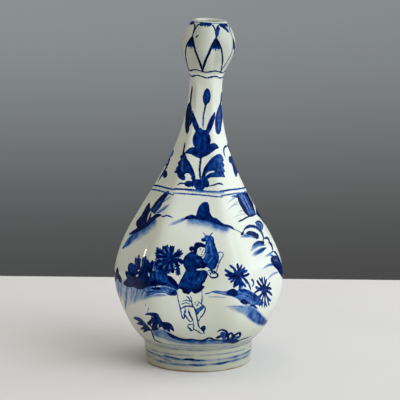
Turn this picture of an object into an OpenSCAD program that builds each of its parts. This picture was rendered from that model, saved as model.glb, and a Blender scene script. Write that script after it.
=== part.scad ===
// Garlic head vase in porcelain: pressed sections joined with slip.
// The vase stands on z = 0 with its foot centred on the origin, and its front panel faces -Y.

/* [Foot] */
// Height of the foot ring
foot_height = 19; // [10:0.5:30]
// Outer radius of the foot ring where it stands
foot_bottom_radius = 43; // [40:0.5:60]
// Outer radius of the foot ring where it meets the body
foot_top_radius = 45.3; // [42:0.5:60]
// Width of the foot ring where it stands
foot_ring_width = 7; // [4:0.5:12]
// Rounding of the foot ring's two lower edges
foot_edge_round = 1.5; // [0.5:0.1:3]
// Thickness of the floor slab
floor_thickness = 6; // [3:0.5:8]

/* [Body] */
// Height from the foot ring to the widest line of the belly
lower_body_height = 52; // [35:1:80]
// Height from the belly line to the shoulder line
upper_body_height = 73; // [55:1:110]
// Radius at the corners of the belly
belly_radius = 69.2; // [60:0.5:85]
// Radius at the corners of the shoulder line
shoulder_radius = 37.4; // [28:0.2:45]
// Height above the foot where the body turns steeper
heel_height = 14.5; // [10:0.5:20]
// Radius at that height
heel_radius = 57.3; // [52:0.1:60]
// Outward slope of the body where it leaves the foot, from upright
foot_flare = 48; // [40:1:52]
// Outward slope of the body at the heel, from upright
heel_flare = 29; // [20:1:36]
// Inward slope of the body at the shoulder line, from upright
shoulder_slope = 29; // [20:1:38]
// Height over which the round foot turns into six panels
panel_fade = 38; // [20:1:50]
// How crisp the edges between the panels are
panel_crispness = 15; // [8:1:24]

/* [Neck] */
// Height from the shoulder line to the narrowest line of the neck
neck_height = 78; // [60:1:110]
// Height from the narrowest line to the joint with the head
collar_height = 15; // [10:0.5:25]
// Radius at the narrowest line
waist_radius = 13.4; // [12:0.2:18]
// Radius at the joint with the head
collar_radius = 14.4; // [13:0.2:20]
// Sideways lean of the neck and head, from upright
neck_lean = 3.9; // [0:0.1:8]
// Height above the belly line where the lean begins
lean_start = 21; // [0:1:60]
// Height over which the lean sets in
lean_onset = 60; // [20:1:90]

/* [Garlic head] */
// Height from the joint to the widest line of the head
head_swell_height = 21.5; // [16:0.5:32]
// Height from the widest line to the mouth rim
head_close_height = 19; // [12:0.5:26]
// Radius of the head over its lobes
head_radius = 22.3; // [19:0.2:30]
// Radius where the head meets the mouth rim
mouth_seat_radius = 14.6; // [14.4:0.1:18]
// Radius of the mouth opening
mouth_radius = 10.2; // [8:0.2:10.8]
// Radius of the roll of the mouth rim
rim_roll_radius = 2; // [1:0.1:2.2]
// Rise of the middle of the rim's roll above the head
rim_rise = 0.5; // [0:0.1:1.5]
// Outward slope of the head above the joint, from upright
head_flare = 19; // [5:1:30]
// Inward slope of the head below the rim, from upright
head_close_slope = 43; // [25:1:50]
// Depth of the grooves between the lobes
lobe_depth = 2; // [0.5:0.1:3]
// How soft the bottom of the grooves is
groove_softness = 0.12; // [0.05:0.01:0.5]
// Height above the joint over which the lobes swell
lobe_rise = 13; // [8:0.5:16]
// Height below the rim over which the lobes die away
lobe_fall = 5; // [3:0.5:8]
// Turn of the head's grooves away from the edges of the body
head_turn = -10; // [-20:1:20]

/* [Walls and joints] */
// Wall thickness of the sections
wall = 4; // [3:0.1:5]
// Thickness of the slip beds
bed = 0.5; // [0.3:0.05:1]
// Height of the tongue that laps the section above
tongue = 3; // [1.5:0.1:5]
// Width of the outer edge where the sections close over the slip
seal = 0.6; // [0.4:0.05:1]
// Radius of the bead of slip squeezed out inside each joint
bead = 1.1; // [0.6:0.1:1.5]

/* [Hidden] */
sides = 6;
steps_round = 48;
crowding = 0.5;
skin_step = 5.2;
inner_step = 7;
head_step = 2.6;
head_inner_step = 3.4;
bead_steps = 4;
arc_steps = 6;
rim_steps = 8;
ring_fn = 96;

belly_z = foot_height + lower_body_height;
shoulder_z = belly_z + upper_body_height;
waist_z = shoulder_z + neck_height;
collar_z = waist_z + collar_height;
head_z = collar_z + head_swell_height;
seat_z = head_z + head_close_height;
rim_z = seat_z + rim_rise;
lean_start_z = belly_z + lean_start;
heel_z = foot_height + heel_height;

foot_recess_radius = foot_bottom_radius - foot_ring_width;
body_inner_radius = foot_top_radius - wall;
floor_radius = body_inner_radius - bed;
floor_top_z = foot_height - bed;
floor_bottom_z = floor_top_z - floor_thickness;
ledge_z = floor_bottom_z - bed;
joint_depth = wall / 2;

// Each station of the outer skin is its height, its corner radius and its slope.
stations = [
  [foot_height, foot_top_radius, tan(foot_flare)],
  [heel_z, heel_radius, tan(heel_flare)],
  [belly_z, belly_radius, 0],
  [shoulder_z, shoulder_radius, -tan(shoulder_slope)],
  [waist_z, waist_radius, 0],
  [collar_z, collar_radius, tan(head_flare)],
  [head_z, head_radius, 0],
  [seat_z, mouth_seat_radius, -tan(head_close_slope)]
];

porcelain = "#e4e7e6";
porcelain_shade = "#d3d8da";
cobalt_white = "#c9d3e6";
raw_clay = "#c9b79c";
slip_clay = "#b9ab97";

function smooth(t) = let (c = max(0, min(1, t))) c * c * (3 - 2 * c);

// Radius between two stations, as the cubic that has both radii and both slopes.
function eased(z, a, b) =
  let (
    run = b[0] - a[0],
    t = (z - a[0]) / run,
    keep = 1 - t,
    from_a = (a[1] * (1 + 2 * t) + a[2] * run * t) * keep * keep,
    from_b = (b[1] * (1 + 2 * keep) - b[2] * run * keep) * t * t
  )
  from_a + from_b;

function corner_radius(z) =
  z >= seat_z
    ? mouth_seat_radius
    : let (k = max([for (i = [0:len(stations) - 2]) if (z >= stations[i][0]) i]))
      eased(z, stations[k], stations[k + 1]);

// Share of the six panels in the section: none at the foot, all on body and neck, none at the head.
function panel_share(z) =
  smooth((z - foot_height) / panel_fade) * (1 - smooth((z - waist_z) / collar_height));

function lobe_share(z) =
  smooth((z - collar_z) / lobe_rise) * (1 - smooth((z - seat_z + lobe_fall) / lobe_fall));

// Each pair of opposite sides adds its share, which is largest where the angle points at them.
function panel_sum(angle) =
  let (
    half = 180 / sides,
    shares = [for (k = [1:2:sides - 1]) pow(abs(cos(angle - k * half)), panel_crispness)]
  )
  shares * [for (share = shares) 1];

// A section with soft edges: 1 at its corners and less in the middle of its sides.
function panel_section(angle) = pow(panel_sum(angle) / panel_sum(0), -1 / panel_crispness);

// How deep the groove between two lobes is at this angle: 1 in the groove, 0 on the lobe.
function groove_section(angle) =
  let (
    swing = sin(angle * sides / 2),
    soft = sqrt(swing * swing + groove_softness * groove_softness),
    top = sqrt(1 + groove_softness * groove_softness)
  )
  (top - soft) / (top - groove_softness);

function skin_radius(angle, z) =
  corner_radius(z) * (1 - panel_share(z) * (1 - panel_section(angle)))
    - lobe_depth * lobe_share(z) * groove_section(angle);

// The axis is upright to some way above the belly and then bends over to a steady lean.
function lean_share(z) =
  let (up = max(0, z - lean_start_z))
  up / sqrt(up * up + lean_onset * lean_onset);

function axis_shift(z) =
  let (up = max(0, z - lean_start_z))
  tan(neck_lean) * (sqrt(up * up + lean_onset * lean_onset) - lean_onset);

function axis_lean(z) = atan(tan(neck_lean) * lean_share(z));

function section_turn(z) = head_turn * smooth((z - waist_z) / collar_height);

// Steps round the section lie closer together at the corners and grooves.
function step_angle(i) =
  let (even = 360 * i / steps_round)
  even - crowding * sin(even * sides) * 180 / PI / sides;

// A point at a step round the vase, a height up its axis and a depth below its skin.
function skin_point(i, z, depth) =
  let (
    angle = step_angle(i),
    radius = skin_radius(angle, z) - depth,
    along = radius * cos(angle + section_turn(z)),
    lean = axis_lean(z)
  )
  [
    axis_shift(z) + along * cos(lean),
    radius * sin(angle + section_turn(z)),
    z - along * sin(lean)
  ];

// A run of profile points up or down the skin at one depth.
function skin_run(z_from, z_to, step, depth) =
  let (steps = ceil(abs(z_to - z_from) / step))
  [for (i = [0:steps]) [z_from + (z_to - z_from) * i / steps, depth]];

// The top edge of a section, from its skin to its inner wall: sealed edge, slip bed, tongue.
function tongue_edge(z) =
  let (face = joint_depth + bed / 2)
  [[z, seal], [z - bed, seal], [z - bed, face], [z + tongue, face], [z + tongue, wall]];

// The bottom edge of the section above, from its inner wall to its skin.
function gallery_edge(z) =
  let (face = joint_depth - bed / 2)
  [[z + tongue + bed, wall], [z + tongue + bed, face], [z, face]];

// The heights on the inner wall where the bead of slip starts and ends.
function bead_middle(z) = z + tongue + bed / 2;
function bead_bottom(z) = bead_middle(z) - bead;
function bead_top(z) = bead_middle(z) + bead;

// The slip between the two edges, with its bead on the inner wall.
function slip_edge(z) =
  let (turn = 180 / bead_steps)
  concat(
    tongue_edge(z),
    [for (i = [0:bead_steps]) [bead_middle(z) - bead * cos(i * turn), wall + bead * sin(i * turn)]],
    gallery_edge(z)
  );

// The solid that a closed profile of heights and depths makes once round the vase.
module swept_section(profile) {
  count = len(profile);
  points = [
    for (i = [0:steps_round - 1])
      for (p = profile)
        skin_point(i, p[0], p[1])
  ];
  faces = [
    for (i = [0:steps_round - 1])
      for (j = [0:count - 1])
        let (
          near = i * count,
          far = (i + 1) % steps_round * count,
          k = (j + 1) % count
        )
        each [
          [near + j, near + k, far + k],
          [near + j, far + k, far + j]
        ]
  ];
  polyhedron(points, faces);
}

function arc(centre, radius, from, to) =
  [
    for (i = [0:arc_steps])
      let (angle = from + (to - from) * i / arc_steps)
      centre + radius * [cos(angle), sin(angle)]
  ];

module foot_ring() {
  outer_edge = [foot_bottom_radius - foot_edge_round, foot_edge_round];
  inner_edge = [foot_recess_radius + foot_edge_round, foot_edge_round];
  color(porcelain_shade)
    rotate_extrude($fn = ring_fn)
      polygon(concat(
        arc(outer_edge, foot_edge_round, -90, 0),
        [
          [foot_top_radius, foot_height],
          [foot_top_radius - seal, foot_height],
          [foot_top_radius - seal, floor_top_z],
          [body_inner_radius, floor_top_z],
          [body_inner_radius, ledge_z],
          [foot_recess_radius, ledge_z]
        ],
        arc(inner_edge, foot_edge_round, 180, 270)
      ));
}

module base_floor() {
  color(raw_clay)
    translate([0, 0, floor_bottom_z])
      cylinder(h = floor_thickness, r = floor_radius, $fn = ring_fn);
}

module slip_floor() {
  color(slip_clay)
    rotate_extrude($fn = ring_fn)
      polygon([
        [foot_recess_radius, ledge_z],
        [body_inner_radius, ledge_z],
        [body_inner_radius, floor_top_z],
        [floor_radius, floor_top_z],
        [floor_radius, floor_bottom_z],
        [foot_recess_radius, floor_bottom_z]
      ]);
}

module slip_foot() {
  bead_centre = [body_inner_radius - bead, foot_height];
  color(slip_clay)
    rotate_extrude($fn = ring_fn)
      polygon(concat(
        [
          [foot_top_radius - seal, floor_top_z],
          [foot_top_radius - seal, foot_height]
        ],
        arc(bead_centre, bead, 0, 180),
        [[body_inner_radius - 2 * bead, floor_top_z]]
      ));
}

module lower_body() {
  color(porcelain)
    swept_section(concat(
      skin_run(foot_height, belly_z, skin_step, 0),
      tongue_edge(belly_z),
      skin_run(bead_bottom(belly_z), foot_height, inner_step, wall)
    ));
}

module upper_body() {
  color(porcelain)
    swept_section(concat(
      skin_run(belly_z, shoulder_z, skin_step, 0),
      tongue_edge(shoulder_z),
      skin_run(bead_bottom(shoulder_z), bead_top(belly_z), inner_step, wall),
      gallery_edge(belly_z)
    ));
}

module neck() {
  color(cobalt_white)
    swept_section(concat(
      skin_run(shoulder_z, collar_z, skin_step, 0),
      tongue_edge(collar_z),
      skin_run(bead_bottom(collar_z), bead_top(shoulder_z), inner_step, wall),
      gallery_edge(shoulder_z)
    ));
}

module garlic_head() {
  roll_centre = mouth_radius + rim_roll_radius;
  color(porcelain)
    swept_section(concat(
      skin_run(collar_z, seat_z, head_step, 0),
      [
        for (i = [0:rim_steps])
          let (angle = 180 * i / rim_steps)
          [
            rim_z + rim_roll_radius * sin(angle),
            mouth_seat_radius - roll_centre - rim_roll_radius * cos(angle)
          ]
      ],
      skin_run(seat_z - wall, bead_top(collar_z), head_inner_step, wall),
      gallery_edge(collar_z)
    ));
}

module slip_belly() {
  color(slip_clay) swept_section(slip_edge(belly_z));
}

module slip_shoulder() {
  color(slip_clay) swept_section(slip_edge(shoulder_z));
}

module slip_neck() {
  color(slip_clay) swept_section(slip_edge(collar_z));
}

foot_ring();
base_floor();
lower_body();
upper_body();
neck();
garlic_head();
slip_floor();
slip_foot();
slip_belly();
slip_shoulder();
slip_neck();
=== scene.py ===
# %% [markdown]
# # A garlic head vase in blue and white
# The vase is pressed in sections that are joined with slip, painted with cobalt on the raw clay, dipped
# in clear glaze and fired once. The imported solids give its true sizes. Here each section gets a fine
# skin that can carry the brushwork, and a glaze.

import math

import bpy
import numpy as np
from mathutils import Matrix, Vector


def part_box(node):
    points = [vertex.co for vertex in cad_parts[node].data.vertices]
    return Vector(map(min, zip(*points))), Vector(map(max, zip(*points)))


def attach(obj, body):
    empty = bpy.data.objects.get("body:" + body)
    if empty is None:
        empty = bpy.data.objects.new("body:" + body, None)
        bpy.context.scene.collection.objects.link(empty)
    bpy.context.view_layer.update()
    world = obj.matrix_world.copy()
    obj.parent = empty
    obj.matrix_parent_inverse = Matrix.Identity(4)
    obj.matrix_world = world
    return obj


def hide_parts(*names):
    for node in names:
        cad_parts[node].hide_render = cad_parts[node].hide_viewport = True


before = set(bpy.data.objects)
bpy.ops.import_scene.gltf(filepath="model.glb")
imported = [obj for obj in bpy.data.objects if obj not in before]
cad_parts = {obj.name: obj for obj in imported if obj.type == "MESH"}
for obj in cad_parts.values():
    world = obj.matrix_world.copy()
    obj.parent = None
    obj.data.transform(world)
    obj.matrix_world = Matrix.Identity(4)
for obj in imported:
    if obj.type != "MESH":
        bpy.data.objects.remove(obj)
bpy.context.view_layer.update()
MM = 0.001
print("nodes:", ", ".join(sorted(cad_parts)))

# %% [markdown]
# ## The shape of the skin
# A potter thinks of a bottle as a profile that is turned round an axis. This one has six soft panels on
# the body and neck, six lobes on the head, and an axis that bends a little, because the vase leaned
# over in the kiln. Lathe tools or a subdivided cage could make it, but neither gives one surface for
# all the sections. Writing the skin as one function of the angle and the height does, so the joints
# close by themselves.

# %% Sizes of the skin
_, foot_high = (np.array(corner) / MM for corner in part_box("foot_ring"))
_, lower_high = (np.array(corner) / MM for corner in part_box("lower_body"))
FOOT_HEIGHT = foot_high[2]
FOOT_TOP_RADIUS = foot_high[0]
FOOT_BOTTOM_RADIUS = 43.0
FOOT_RING_WIDTH = 7.0
FOOT_EDGE_ROUND = 1.5
FLOOR_THICKNESS = 6.0
BELLY_RADIUS = lower_high[0]
HEEL_RADIUS = 57.3
SHOULDER_RADIUS = 37.4
WAIST_RADIUS = 13.4
COLLAR_RADIUS = 14.4
HEAD_RADIUS = 22.3
MOUTH_SEAT_RADIUS = 14.6
MOUTH_RADIUS = 10.2
RIM_ROLL = 2.0
RIM_RISE = 0.5
RIM_DIP = 0.8
HEEL_HEIGHT = 14.5
UPPER_BODY_HEIGHT = 73.0
NECK_HEIGHT = 78.0
COLLAR_HEIGHT = 15.0
HEAD_SWELL_HEIGHT = 21.5
HEAD_CLOSE_HEIGHT = 19.0
WALL = 4.0
BED = 0.5
TONGUE = 3.0
SEAL = 0.6
BEAD = 1.1

BELLY_Z = lower_high[2] - TONGUE
HEEL_Z = FOOT_HEIGHT + HEEL_HEIGHT
SHOULDER_Z = BELLY_Z + UPPER_BODY_HEIGHT
WAIST_Z = SHOULDER_Z + NECK_HEIGHT
COLLAR_Z = WAIST_Z + COLLAR_HEIGHT
HEAD_Z = COLLAR_Z + HEAD_SWELL_HEIGHT
SEAT_Z = HEAD_Z + HEAD_CLOSE_HEIGHT

SIDES = 6
PANEL_FADE = 38.0
PANEL_CRISPNESS = 15.0
LOBE_DEPTH = 2.0
LOBE_RISE = 13.0
LOBE_FALL = 5.0
GROOVE_SOFTNESS = 0.12
HEAD_TURN = math.radians(-10)
LEAN = math.tan(math.radians(3.9))
LEAN_START_Z = BELLY_Z + 21.0
LEAN_ONSET = 60.0
print(f"belly line at {BELLY_Z:.1f} mm, head at {HEAD_Z:.1f} mm, rim seat at {SEAT_Z:.1f} mm")

# %% [markdown]
# The profile is fixed at eight heights, where it has a known radius and slope, and a cubic joins each
# to the next. Bezier curves would do as well, but their radius at a given height has to be searched
# for. Panels and lobes are drawn in from that radius by a share that fades in and out with the height.

# %% The skin as a function of angle and height
FOOT_FLARE = 48
HEEL_FLARE = 29
SHOULDER_SLOPE = 29
HEAD_FLARE = 19
HEAD_CLOSE_SLOPE = 43


def slope(degrees):
    """Radius gained for each mm up, from the angle that the profile leans out."""
    return math.tan(math.radians(degrees))


STATIONS = np.array([
    (FOOT_HEIGHT, FOOT_TOP_RADIUS, slope(FOOT_FLARE)),
    (HEEL_Z, HEEL_RADIUS, slope(HEEL_FLARE)),
    (BELLY_Z, BELLY_RADIUS, 0.0),
    (SHOULDER_Z, SHOULDER_RADIUS, -slope(SHOULDER_SLOPE)),
    (WAIST_Z, WAIST_RADIUS, 0.0),
    (COLLAR_Z, COLLAR_RADIUS, slope(HEAD_FLARE)),
    (HEAD_Z, HEAD_RADIUS, 0.0),
    (SEAT_Z, MOUTH_SEAT_RADIUS, -slope(HEAD_CLOSE_SLOPE)),
])


def smooth(share):
    """Ease from 0 to 1 with level ends: three times the square less twice the cube."""
    share = np.clip(share, 0.0, 1.0)
    return share * share * (3.0 - 2.0 * share)


def corner_radius(z):
    """Radius of the corners at a height: the cubic through two stations that has both radii and slopes."""
    k = np.clip(np.searchsorted(STATIONS[:, 0], z, side="right") - 1, 0, len(STATIONS) - 2)
    low, high = STATIONS[k], STATIONS[k + 1]
    run = high[..., 0] - low[..., 0]
    t = (np.minimum(z, SEAT_Z) - low[..., 0]) / run
    keep = 1.0 - t
    from_low = (low[..., 1] * (1 + 2 * t) + low[..., 2] * run * t) * keep ** 2
    from_high = (high[..., 1] * (1 + 2 * keep) - high[..., 2] * run * keep) * t ** 2
    return from_low + from_high


def panel_section(angle):
    """Six flat sides with soft corners: the power mean of the cosines to the sides, 1 at a corner."""
    half = math.pi / SIDES

    def total(a):
        """Sum over the pairs of sides of the cosine to each, to the power of the crispness."""
        return sum(np.abs(np.cos(a - k * half)) ** PANEL_CRISPNESS for k in range(1, SIDES, 2))

    return (total(angle) / total(0.0)) ** (-1.0 / PANEL_CRISPNESS)


def groove_section(angle):
    """Depth of the grooves between the lobes: 1 where half the lobe count times the angle has no sine."""
    top = math.hypot(1.0, GROOVE_SOFTNESS)
    soft = np.hypot(np.sin(angle * SIDES / 2), GROOVE_SOFTNESS)
    return (top - soft) / (top - GROOVE_SOFTNESS)


def skin_radius(angle, z):
    """Corner radius, drawn in on the panels and in the grooves by their share at this height."""
    panels = smooth((z - FOOT_HEIGHT) / PANEL_FADE) * (1 - smooth((z - WAIST_Z) / (COLLAR_Z - WAIST_Z)))
    lobes = smooth((z - COLLAR_Z) / LOBE_RISE) * (1 - smooth((z - SEAT_Z + LOBE_FALL) / LOBE_FALL))
    drawn_in = 1 - panels * (1 - panel_section(angle))
    return corner_radius(z) * drawn_in - LOBE_DEPTH * lobes * groove_section(angle)


def on_skin(angle, z, depth):
    """Point at an angle round the bent axis, a height up it and a depth under the skin, in mm.

    The rolled rim dips towards the front, as one that was cut and rolled by hand does.
    """
    radius = skin_radius(angle, z) - depth
    up = np.maximum(0.0, z - LEAN_START_Z)
    reach = np.hypot(up, LEAN_ONSET)
    lean = np.arctan(LEAN * up / reach)
    turned = angle + HEAD_TURN * smooth((z - WAIST_Z) / (COLLAR_Z - WAIST_Z))
    along = radius * np.cos(turned)
    x = LEAN * (reach - LEAN_ONSET) + along * np.cos(lean)
    dip = RIM_DIP * (1 - np.sin(turned)) * smooth((z - SEAT_Z) / (RIM_RISE + RIM_ROLL))
    return np.stack([x, radius * np.sin(turned), z - along * np.sin(lean) - dip], axis=-1)


across_panels = 2 * skin_radius(math.radians(90), BELLY_Z)
print(f"belly: {2 * BELLY_RADIUS:.1f} mm across its corners, {across_panels:.1f} mm across its panels")

# %% [markdown]
# ## From a profile to a closed shell
# A section is a closed loop of points, each with a height and a depth under the skin: up the outside,
# over the tongue that laps the next section, down the inside and back over the lower edge. Carried once
# round the vase it makes a closed tube of quads, with no poles and no seams to sew. The outside has a
# row about every half millimetre, because the painting is stored on its points.

# %% Closed shells
SHARP_DEGREES = 35


def tube_faces(rows, columns):
    """Quads of a grid that closes both ways: each joins a point, the next in its ring and the next ring."""
    row, column = np.meshgrid(np.arange(rows), np.arange(columns), indexing="ij")
    right, below = (column + 1) % columns, (row + 1) % rows
    here, under = row * columns, below * columns
    corners = [here + column, here + right, under + right, under + column]
    return np.stack(corners, axis=-1).reshape(-1, 4)


def new_mesh(name, points_mm, faces):
    """Put a grid of points, in mm, and its quads into a mesh object at the origin."""
    mesh = bpy.data.meshes.new(name)
    points = np.ascontiguousarray(points_mm.reshape(-1, 3) * MM, dtype=np.float32)
    mesh.vertices.add(len(points))
    mesh.vertices.foreach_set("co", points.ravel())
    mesh.loops.add(faces.size)
    mesh.loops.foreach_set("vertex_index", faces.astype(np.int32).ravel())
    mesh.polygons.add(len(faces))
    mesh.polygons.foreach_set("loop_start", np.arange(0, faces.size, faces.shape[1], dtype=np.int32))
    mesh.polygons.foreach_set("use_smooth", np.ones(len(faces), dtype=bool))
    mesh.update(calc_edges=True)
    mesh.validate()
    mesh.set_sharp_from_angle(angle=math.radians(SHARP_DEGREES))
    piece = bpy.data.objects.new(name, mesh)
    bpy.context.scene.collection.objects.link(piece)
    print(f"{name}: {len(mesh.polygons)} quads")
    return piece


print("a tube of 3 rows and 4 columns has", len(tube_faces(3, 4)), "quads")

# %% [markdown]
# The sections lap one another, as pressed clay does when it is joined: a tongue at the top of one
# stands in a gallery at the bottom of the next, with a bed of slip between them and a bead squeezed out
# inside. The shells have the same edges as the solids, so the slip beds of the solids fit between them.

# %% Profiles of the pressed sections
def run(z_from, z_to, step, depth):
    """Even profile points from one height to another at one depth."""
    count = math.ceil(abs(z_to - z_from) / step) + 1
    return [(z, depth) for z in np.linspace(z_from, z_to, count)]


def tongue_edge(z):
    """Top edge of a section: sealed edge, slip bed and tongue, from the skin to the inner wall."""
    face = (WALL + BED) / 2
    return [(z, SEAL), (z - BED, SEAL), (z - BED, face), (z + TONGUE, face), (z + TONGUE, WALL)]


def gallery_edge(z):
    """Bottom edge of the section above, from its inner wall to its skin."""
    face = (WALL - BED) / 2
    return [(z + TONGUE + BED, WALL), (z + TONGUE + BED, face), (z, face)]


def bead_bottom(z):
    """Height where the bead inside a joint begins."""
    return z + TONGUE + BED / 2 - BEAD


def bead_top(z):
    """Height where the bead inside a joint ends."""
    return z + TONGUE + BED / 2 + BEAD


SKIN_STEP = 0.55
NECK_STEP = 0.45
HEAD_STEP = 0.3
INNER_STEP = 6.0
HEAD_INNER_STEP = 1.5
RIM_STEPS = 24

lower_profile = run(FOOT_HEIGHT, BELLY_Z, SKIN_STEP, 0.0) + tongue_edge(BELLY_Z)
lower_profile += run(bead_bottom(BELLY_Z), FOOT_HEIGHT, INNER_STEP, WALL)
upper_profile = run(BELLY_Z, SHOULDER_Z, SKIN_STEP, 0.0) + tongue_edge(SHOULDER_Z)
upper_profile += run(bead_bottom(SHOULDER_Z), bead_top(BELLY_Z), INNER_STEP, WALL) + gallery_edge(BELLY_Z)
neck_profile = run(SHOULDER_Z, COLLAR_Z, NECK_STEP, 0.0) + tongue_edge(COLLAR_Z)
neck_profile += run(bead_bottom(COLLAR_Z), bead_top(SHOULDER_Z), INNER_STEP, WALL) + gallery_edge(SHOULDER_Z)
rim = [(SEAT_Z + RIM_RISE + RIM_ROLL * math.sin(turn),
        MOUTH_SEAT_RADIUS - MOUTH_RADIUS - RIM_ROLL * (1 + math.cos(turn)))
       for turn in np.linspace(0.0, math.pi, RIM_STEPS)]
head_profile = run(COLLAR_Z, SEAT_Z, HEAD_STEP, 0.0) + rim
head_profile += run(SEAT_Z - WALL, bead_top(COLLAR_Z), HEAD_INNER_STEP, WALL) + gallery_edge(COLLAR_Z)
profiles = (lower_profile, upper_profile, neck_profile, head_profile)
print("profile points:", *(len(profile) for profile in profiles))

# %% [markdown]
# A screw modifier turns a profile round an axis too, but this skin is not round: each ring of points
# follows the panels and lobes of its own height. So every point comes from the formula, in rings fine
# enough to paint on.

# %% Shells of the pressed sections
def pressed_section(name, profile, columns):
    """Carry a closed profile once round the vase; the skin's angles and heights stay with the piece."""
    z, depth = np.array(profile).T
    angle = np.linspace(0.0, 2 * math.pi, columns, endpoint=False)
    points = on_skin(angle[None, :], z[:, None], depth[:, None])
    piece = new_mesh(name, points, tube_faces(len(profile), columns))
    where = np.broadcast_arrays(angle[None, :], z[:, None], depth[:, None])
    return piece, [part.ravel() for part in where]


sections = {
    "lower_body": pressed_section("lower_body_painted", lower_profile, columns=720),
    "upper_body": pressed_section("upper_body_painted", upper_profile, columns=640),
    "neck": pressed_section("neck_painted", neck_profile, columns=420),
    "garlic_head": pressed_section("garlic_head_painted", head_profile, columns=420),
}

# %% [markdown]
# The foot ring is thrown, so it stays round and upright. It carries painted rings too, and its profile
# is carried round a straight axis: the rounded standing edge, the leaning outside, the seats of the
# slip and of the floor slab, and the recess under the vase.

# %% The foot ring
FOOT_COLUMNS = 480
EDGE_TURNS = np.radians(np.linspace(-90, 0, 8))
OUTSIDE_SHARES = np.linspace(0.03, 1.0, 40)
LEDGE_Z = FOOT_HEIGHT - BED - FLOOR_THICKNESS - BED
recess_radius = FOOT_BOTTOM_RADIUS - FOOT_RING_WIDTH
seat_radius = FOOT_TOP_RADIUS - WALL

edge_in = FOOT_EDGE_ROUND * (1 - np.cos(EDGE_TURNS))
edge_up = FOOT_EDGE_ROUND * (1 + np.sin(EDGE_TURNS))
foot_radius = np.concatenate([
    FOOT_BOTTOM_RADIUS - edge_in,
    FOOT_BOTTOM_RADIUS + (FOOT_TOP_RADIUS - FOOT_BOTTOM_RADIUS) * OUTSIDE_SHARES,
    [FOOT_TOP_RADIUS - SEAL, FOOT_TOP_RADIUS - SEAL, seat_radius, seat_radius, recess_radius],
    recess_radius + edge_in[::-1],
])
foot_z = np.concatenate([
    edge_up,
    FOOT_EDGE_ROUND + (FOOT_HEIGHT - FOOT_EDGE_ROUND) * OUTSIDE_SHARES,
    [FOOT_HEIGHT, FOOT_HEIGHT - BED, FOOT_HEIGHT - BED, LEDGE_Z, LEDGE_Z],
    edge_up[::-1],
])
foot_angle = np.linspace(0.0, 2 * math.pi, FOOT_COLUMNS, endpoint=False)
foot_grid = np.broadcast_arrays(foot_angle[None, :], foot_radius[:, None], foot_z[:, None])
turn_round, radius_round, z_round = foot_grid
foot_x, foot_y = radius_round * np.cos(turn_round), radius_round * np.sin(turn_round)
foot_points = np.stack([foot_x, foot_y, z_round], axis=-1)
foot_ring = new_mesh("foot_ring_glazed", foot_points, tube_faces(*z_round.shape))

# %% [markdown]
# ## The painter's brush
# The blue is cobalt, brushed on the dry clay before the glaze. An image texture could hold it, but here
# the painting is worked out on the points of the skin, so it follows the form and needs no file. The
# painter works on a flat sheet: mm across from the middle line of a panel, and mm up the skin from the
# foot joint.

# %% Lengths up the skin
FRONT = math.radians(-90)
PANEL_SHORTENING = 3 / math.pi
LENGTH_STEPS = 1200

heights = np.linspace(FOOT_HEIGHT, SEAT_Z, LENGTH_STEPS)
steps_up = np.hypot(np.diff(heights), np.diff(corner_radius(heights)))
lengths = np.concatenate([[0.0], np.cumsum(steps_up)])
HEAD_TOP = lengths[-1]
print(f"skin from the foot joint to the rim: {HEAD_TOP:.0f} mm")

# %% [markdown]
# A stroke is a smooth path through a few points, with a width. Curve objects could carry it, but the
# ink needs only three numbers at each point of the skin: how far away the path is, how much of it lies
# behind, and on which side the point is. A patch has to know as well whether the point is inside its
# outline.

# %% Paths and distances
PATH_STEPS = 8
HARDLY_ANY = 1e-9


def through(points, closed=False):
    """Smooth path: cubics between the points, each end slope half the step between its neighbours."""
    p = np.array(points, dtype=float)
    if closed:
        p = np.concatenate([p[-1:], p, p[:2]])
    else:
        p = np.concatenate([2 * p[:1] - p[1:2], p, 2 * p[-1:] - p[-2:-1]])
    a, b, c, d = (part[:, None, :] for part in (p[:-3], p[1:-2], p[2:-1], p[3:]))
    t = np.linspace(0.0, 1.0, PATH_STEPS, endpoint=False)[None, :, None]
    square = (2 * a - 5 * b + 4 * c - d) * t ** 2 / 2
    cube = (3 * b - a - 3 * c + d) * t ** 3 / 2
    curve = b + (c - a) * t / 2 + square + cube
    return np.concatenate([curve.reshape(-1, 2), p[-2:-1]])


def to_path(points, path):
    """Each point's distance to a path, the share of the path behind it, and its side, left positive."""
    leg = np.diff(path, axis=0)
    offset = points[:, None, :] - path[:-1]
    t = np.clip((offset * leg).sum(-1) / np.maximum((leg ** 2).sum(-1), HARDLY_ANY), 0.0, 1.0)
    away = offset - t[..., None] * leg
    gap = np.hypot(away[..., 0], away[..., 1])
    row, nearest = np.arange(len(points)), gap.argmin(axis=1)
    share = (nearest + t[row, nearest]) / len(leg)
    cross = leg[nearest, 0] * offset[row, nearest, 1] - leg[nearest, 1] * offset[row, nearest, 0]
    return gap[row, nearest], share, np.sign(cross)


def inside(points, ring):
    """True where a line from the point to the right crosses the closed ring an odd number of times."""
    x, y = points[:, :1], points[:, 1:]
    (x0, y0), (x1, y1) = ring[:-1].T, ring[1:].T
    rise = np.where(y1 == y0, HARDLY_ANY, y1 - y0)
    crossing = ((y0 > y) != (y1 > y)) & (x < x0 + (y - y0) * (x1 - x0) / rise)
    return crossing.sum(axis=1) % 2 == 1


print("a stroke of 3 points becomes a path of", len(through([(0, 0), (1, 2), (3, 3)])), "points")

# %% [markdown]
# A brush mark is never even. The hairs of the brush carry different amounts of ink and leave streaks, a
# stroke swells from its start and thins out at its end, and the ink may run out on the way. A noise
# texture could make streaks, but it would not follow the stroke, so each of these is a formula along
# the path.

# %% Streaks and tapers
TAPER = 0.35
STREAK = 0.13


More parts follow.
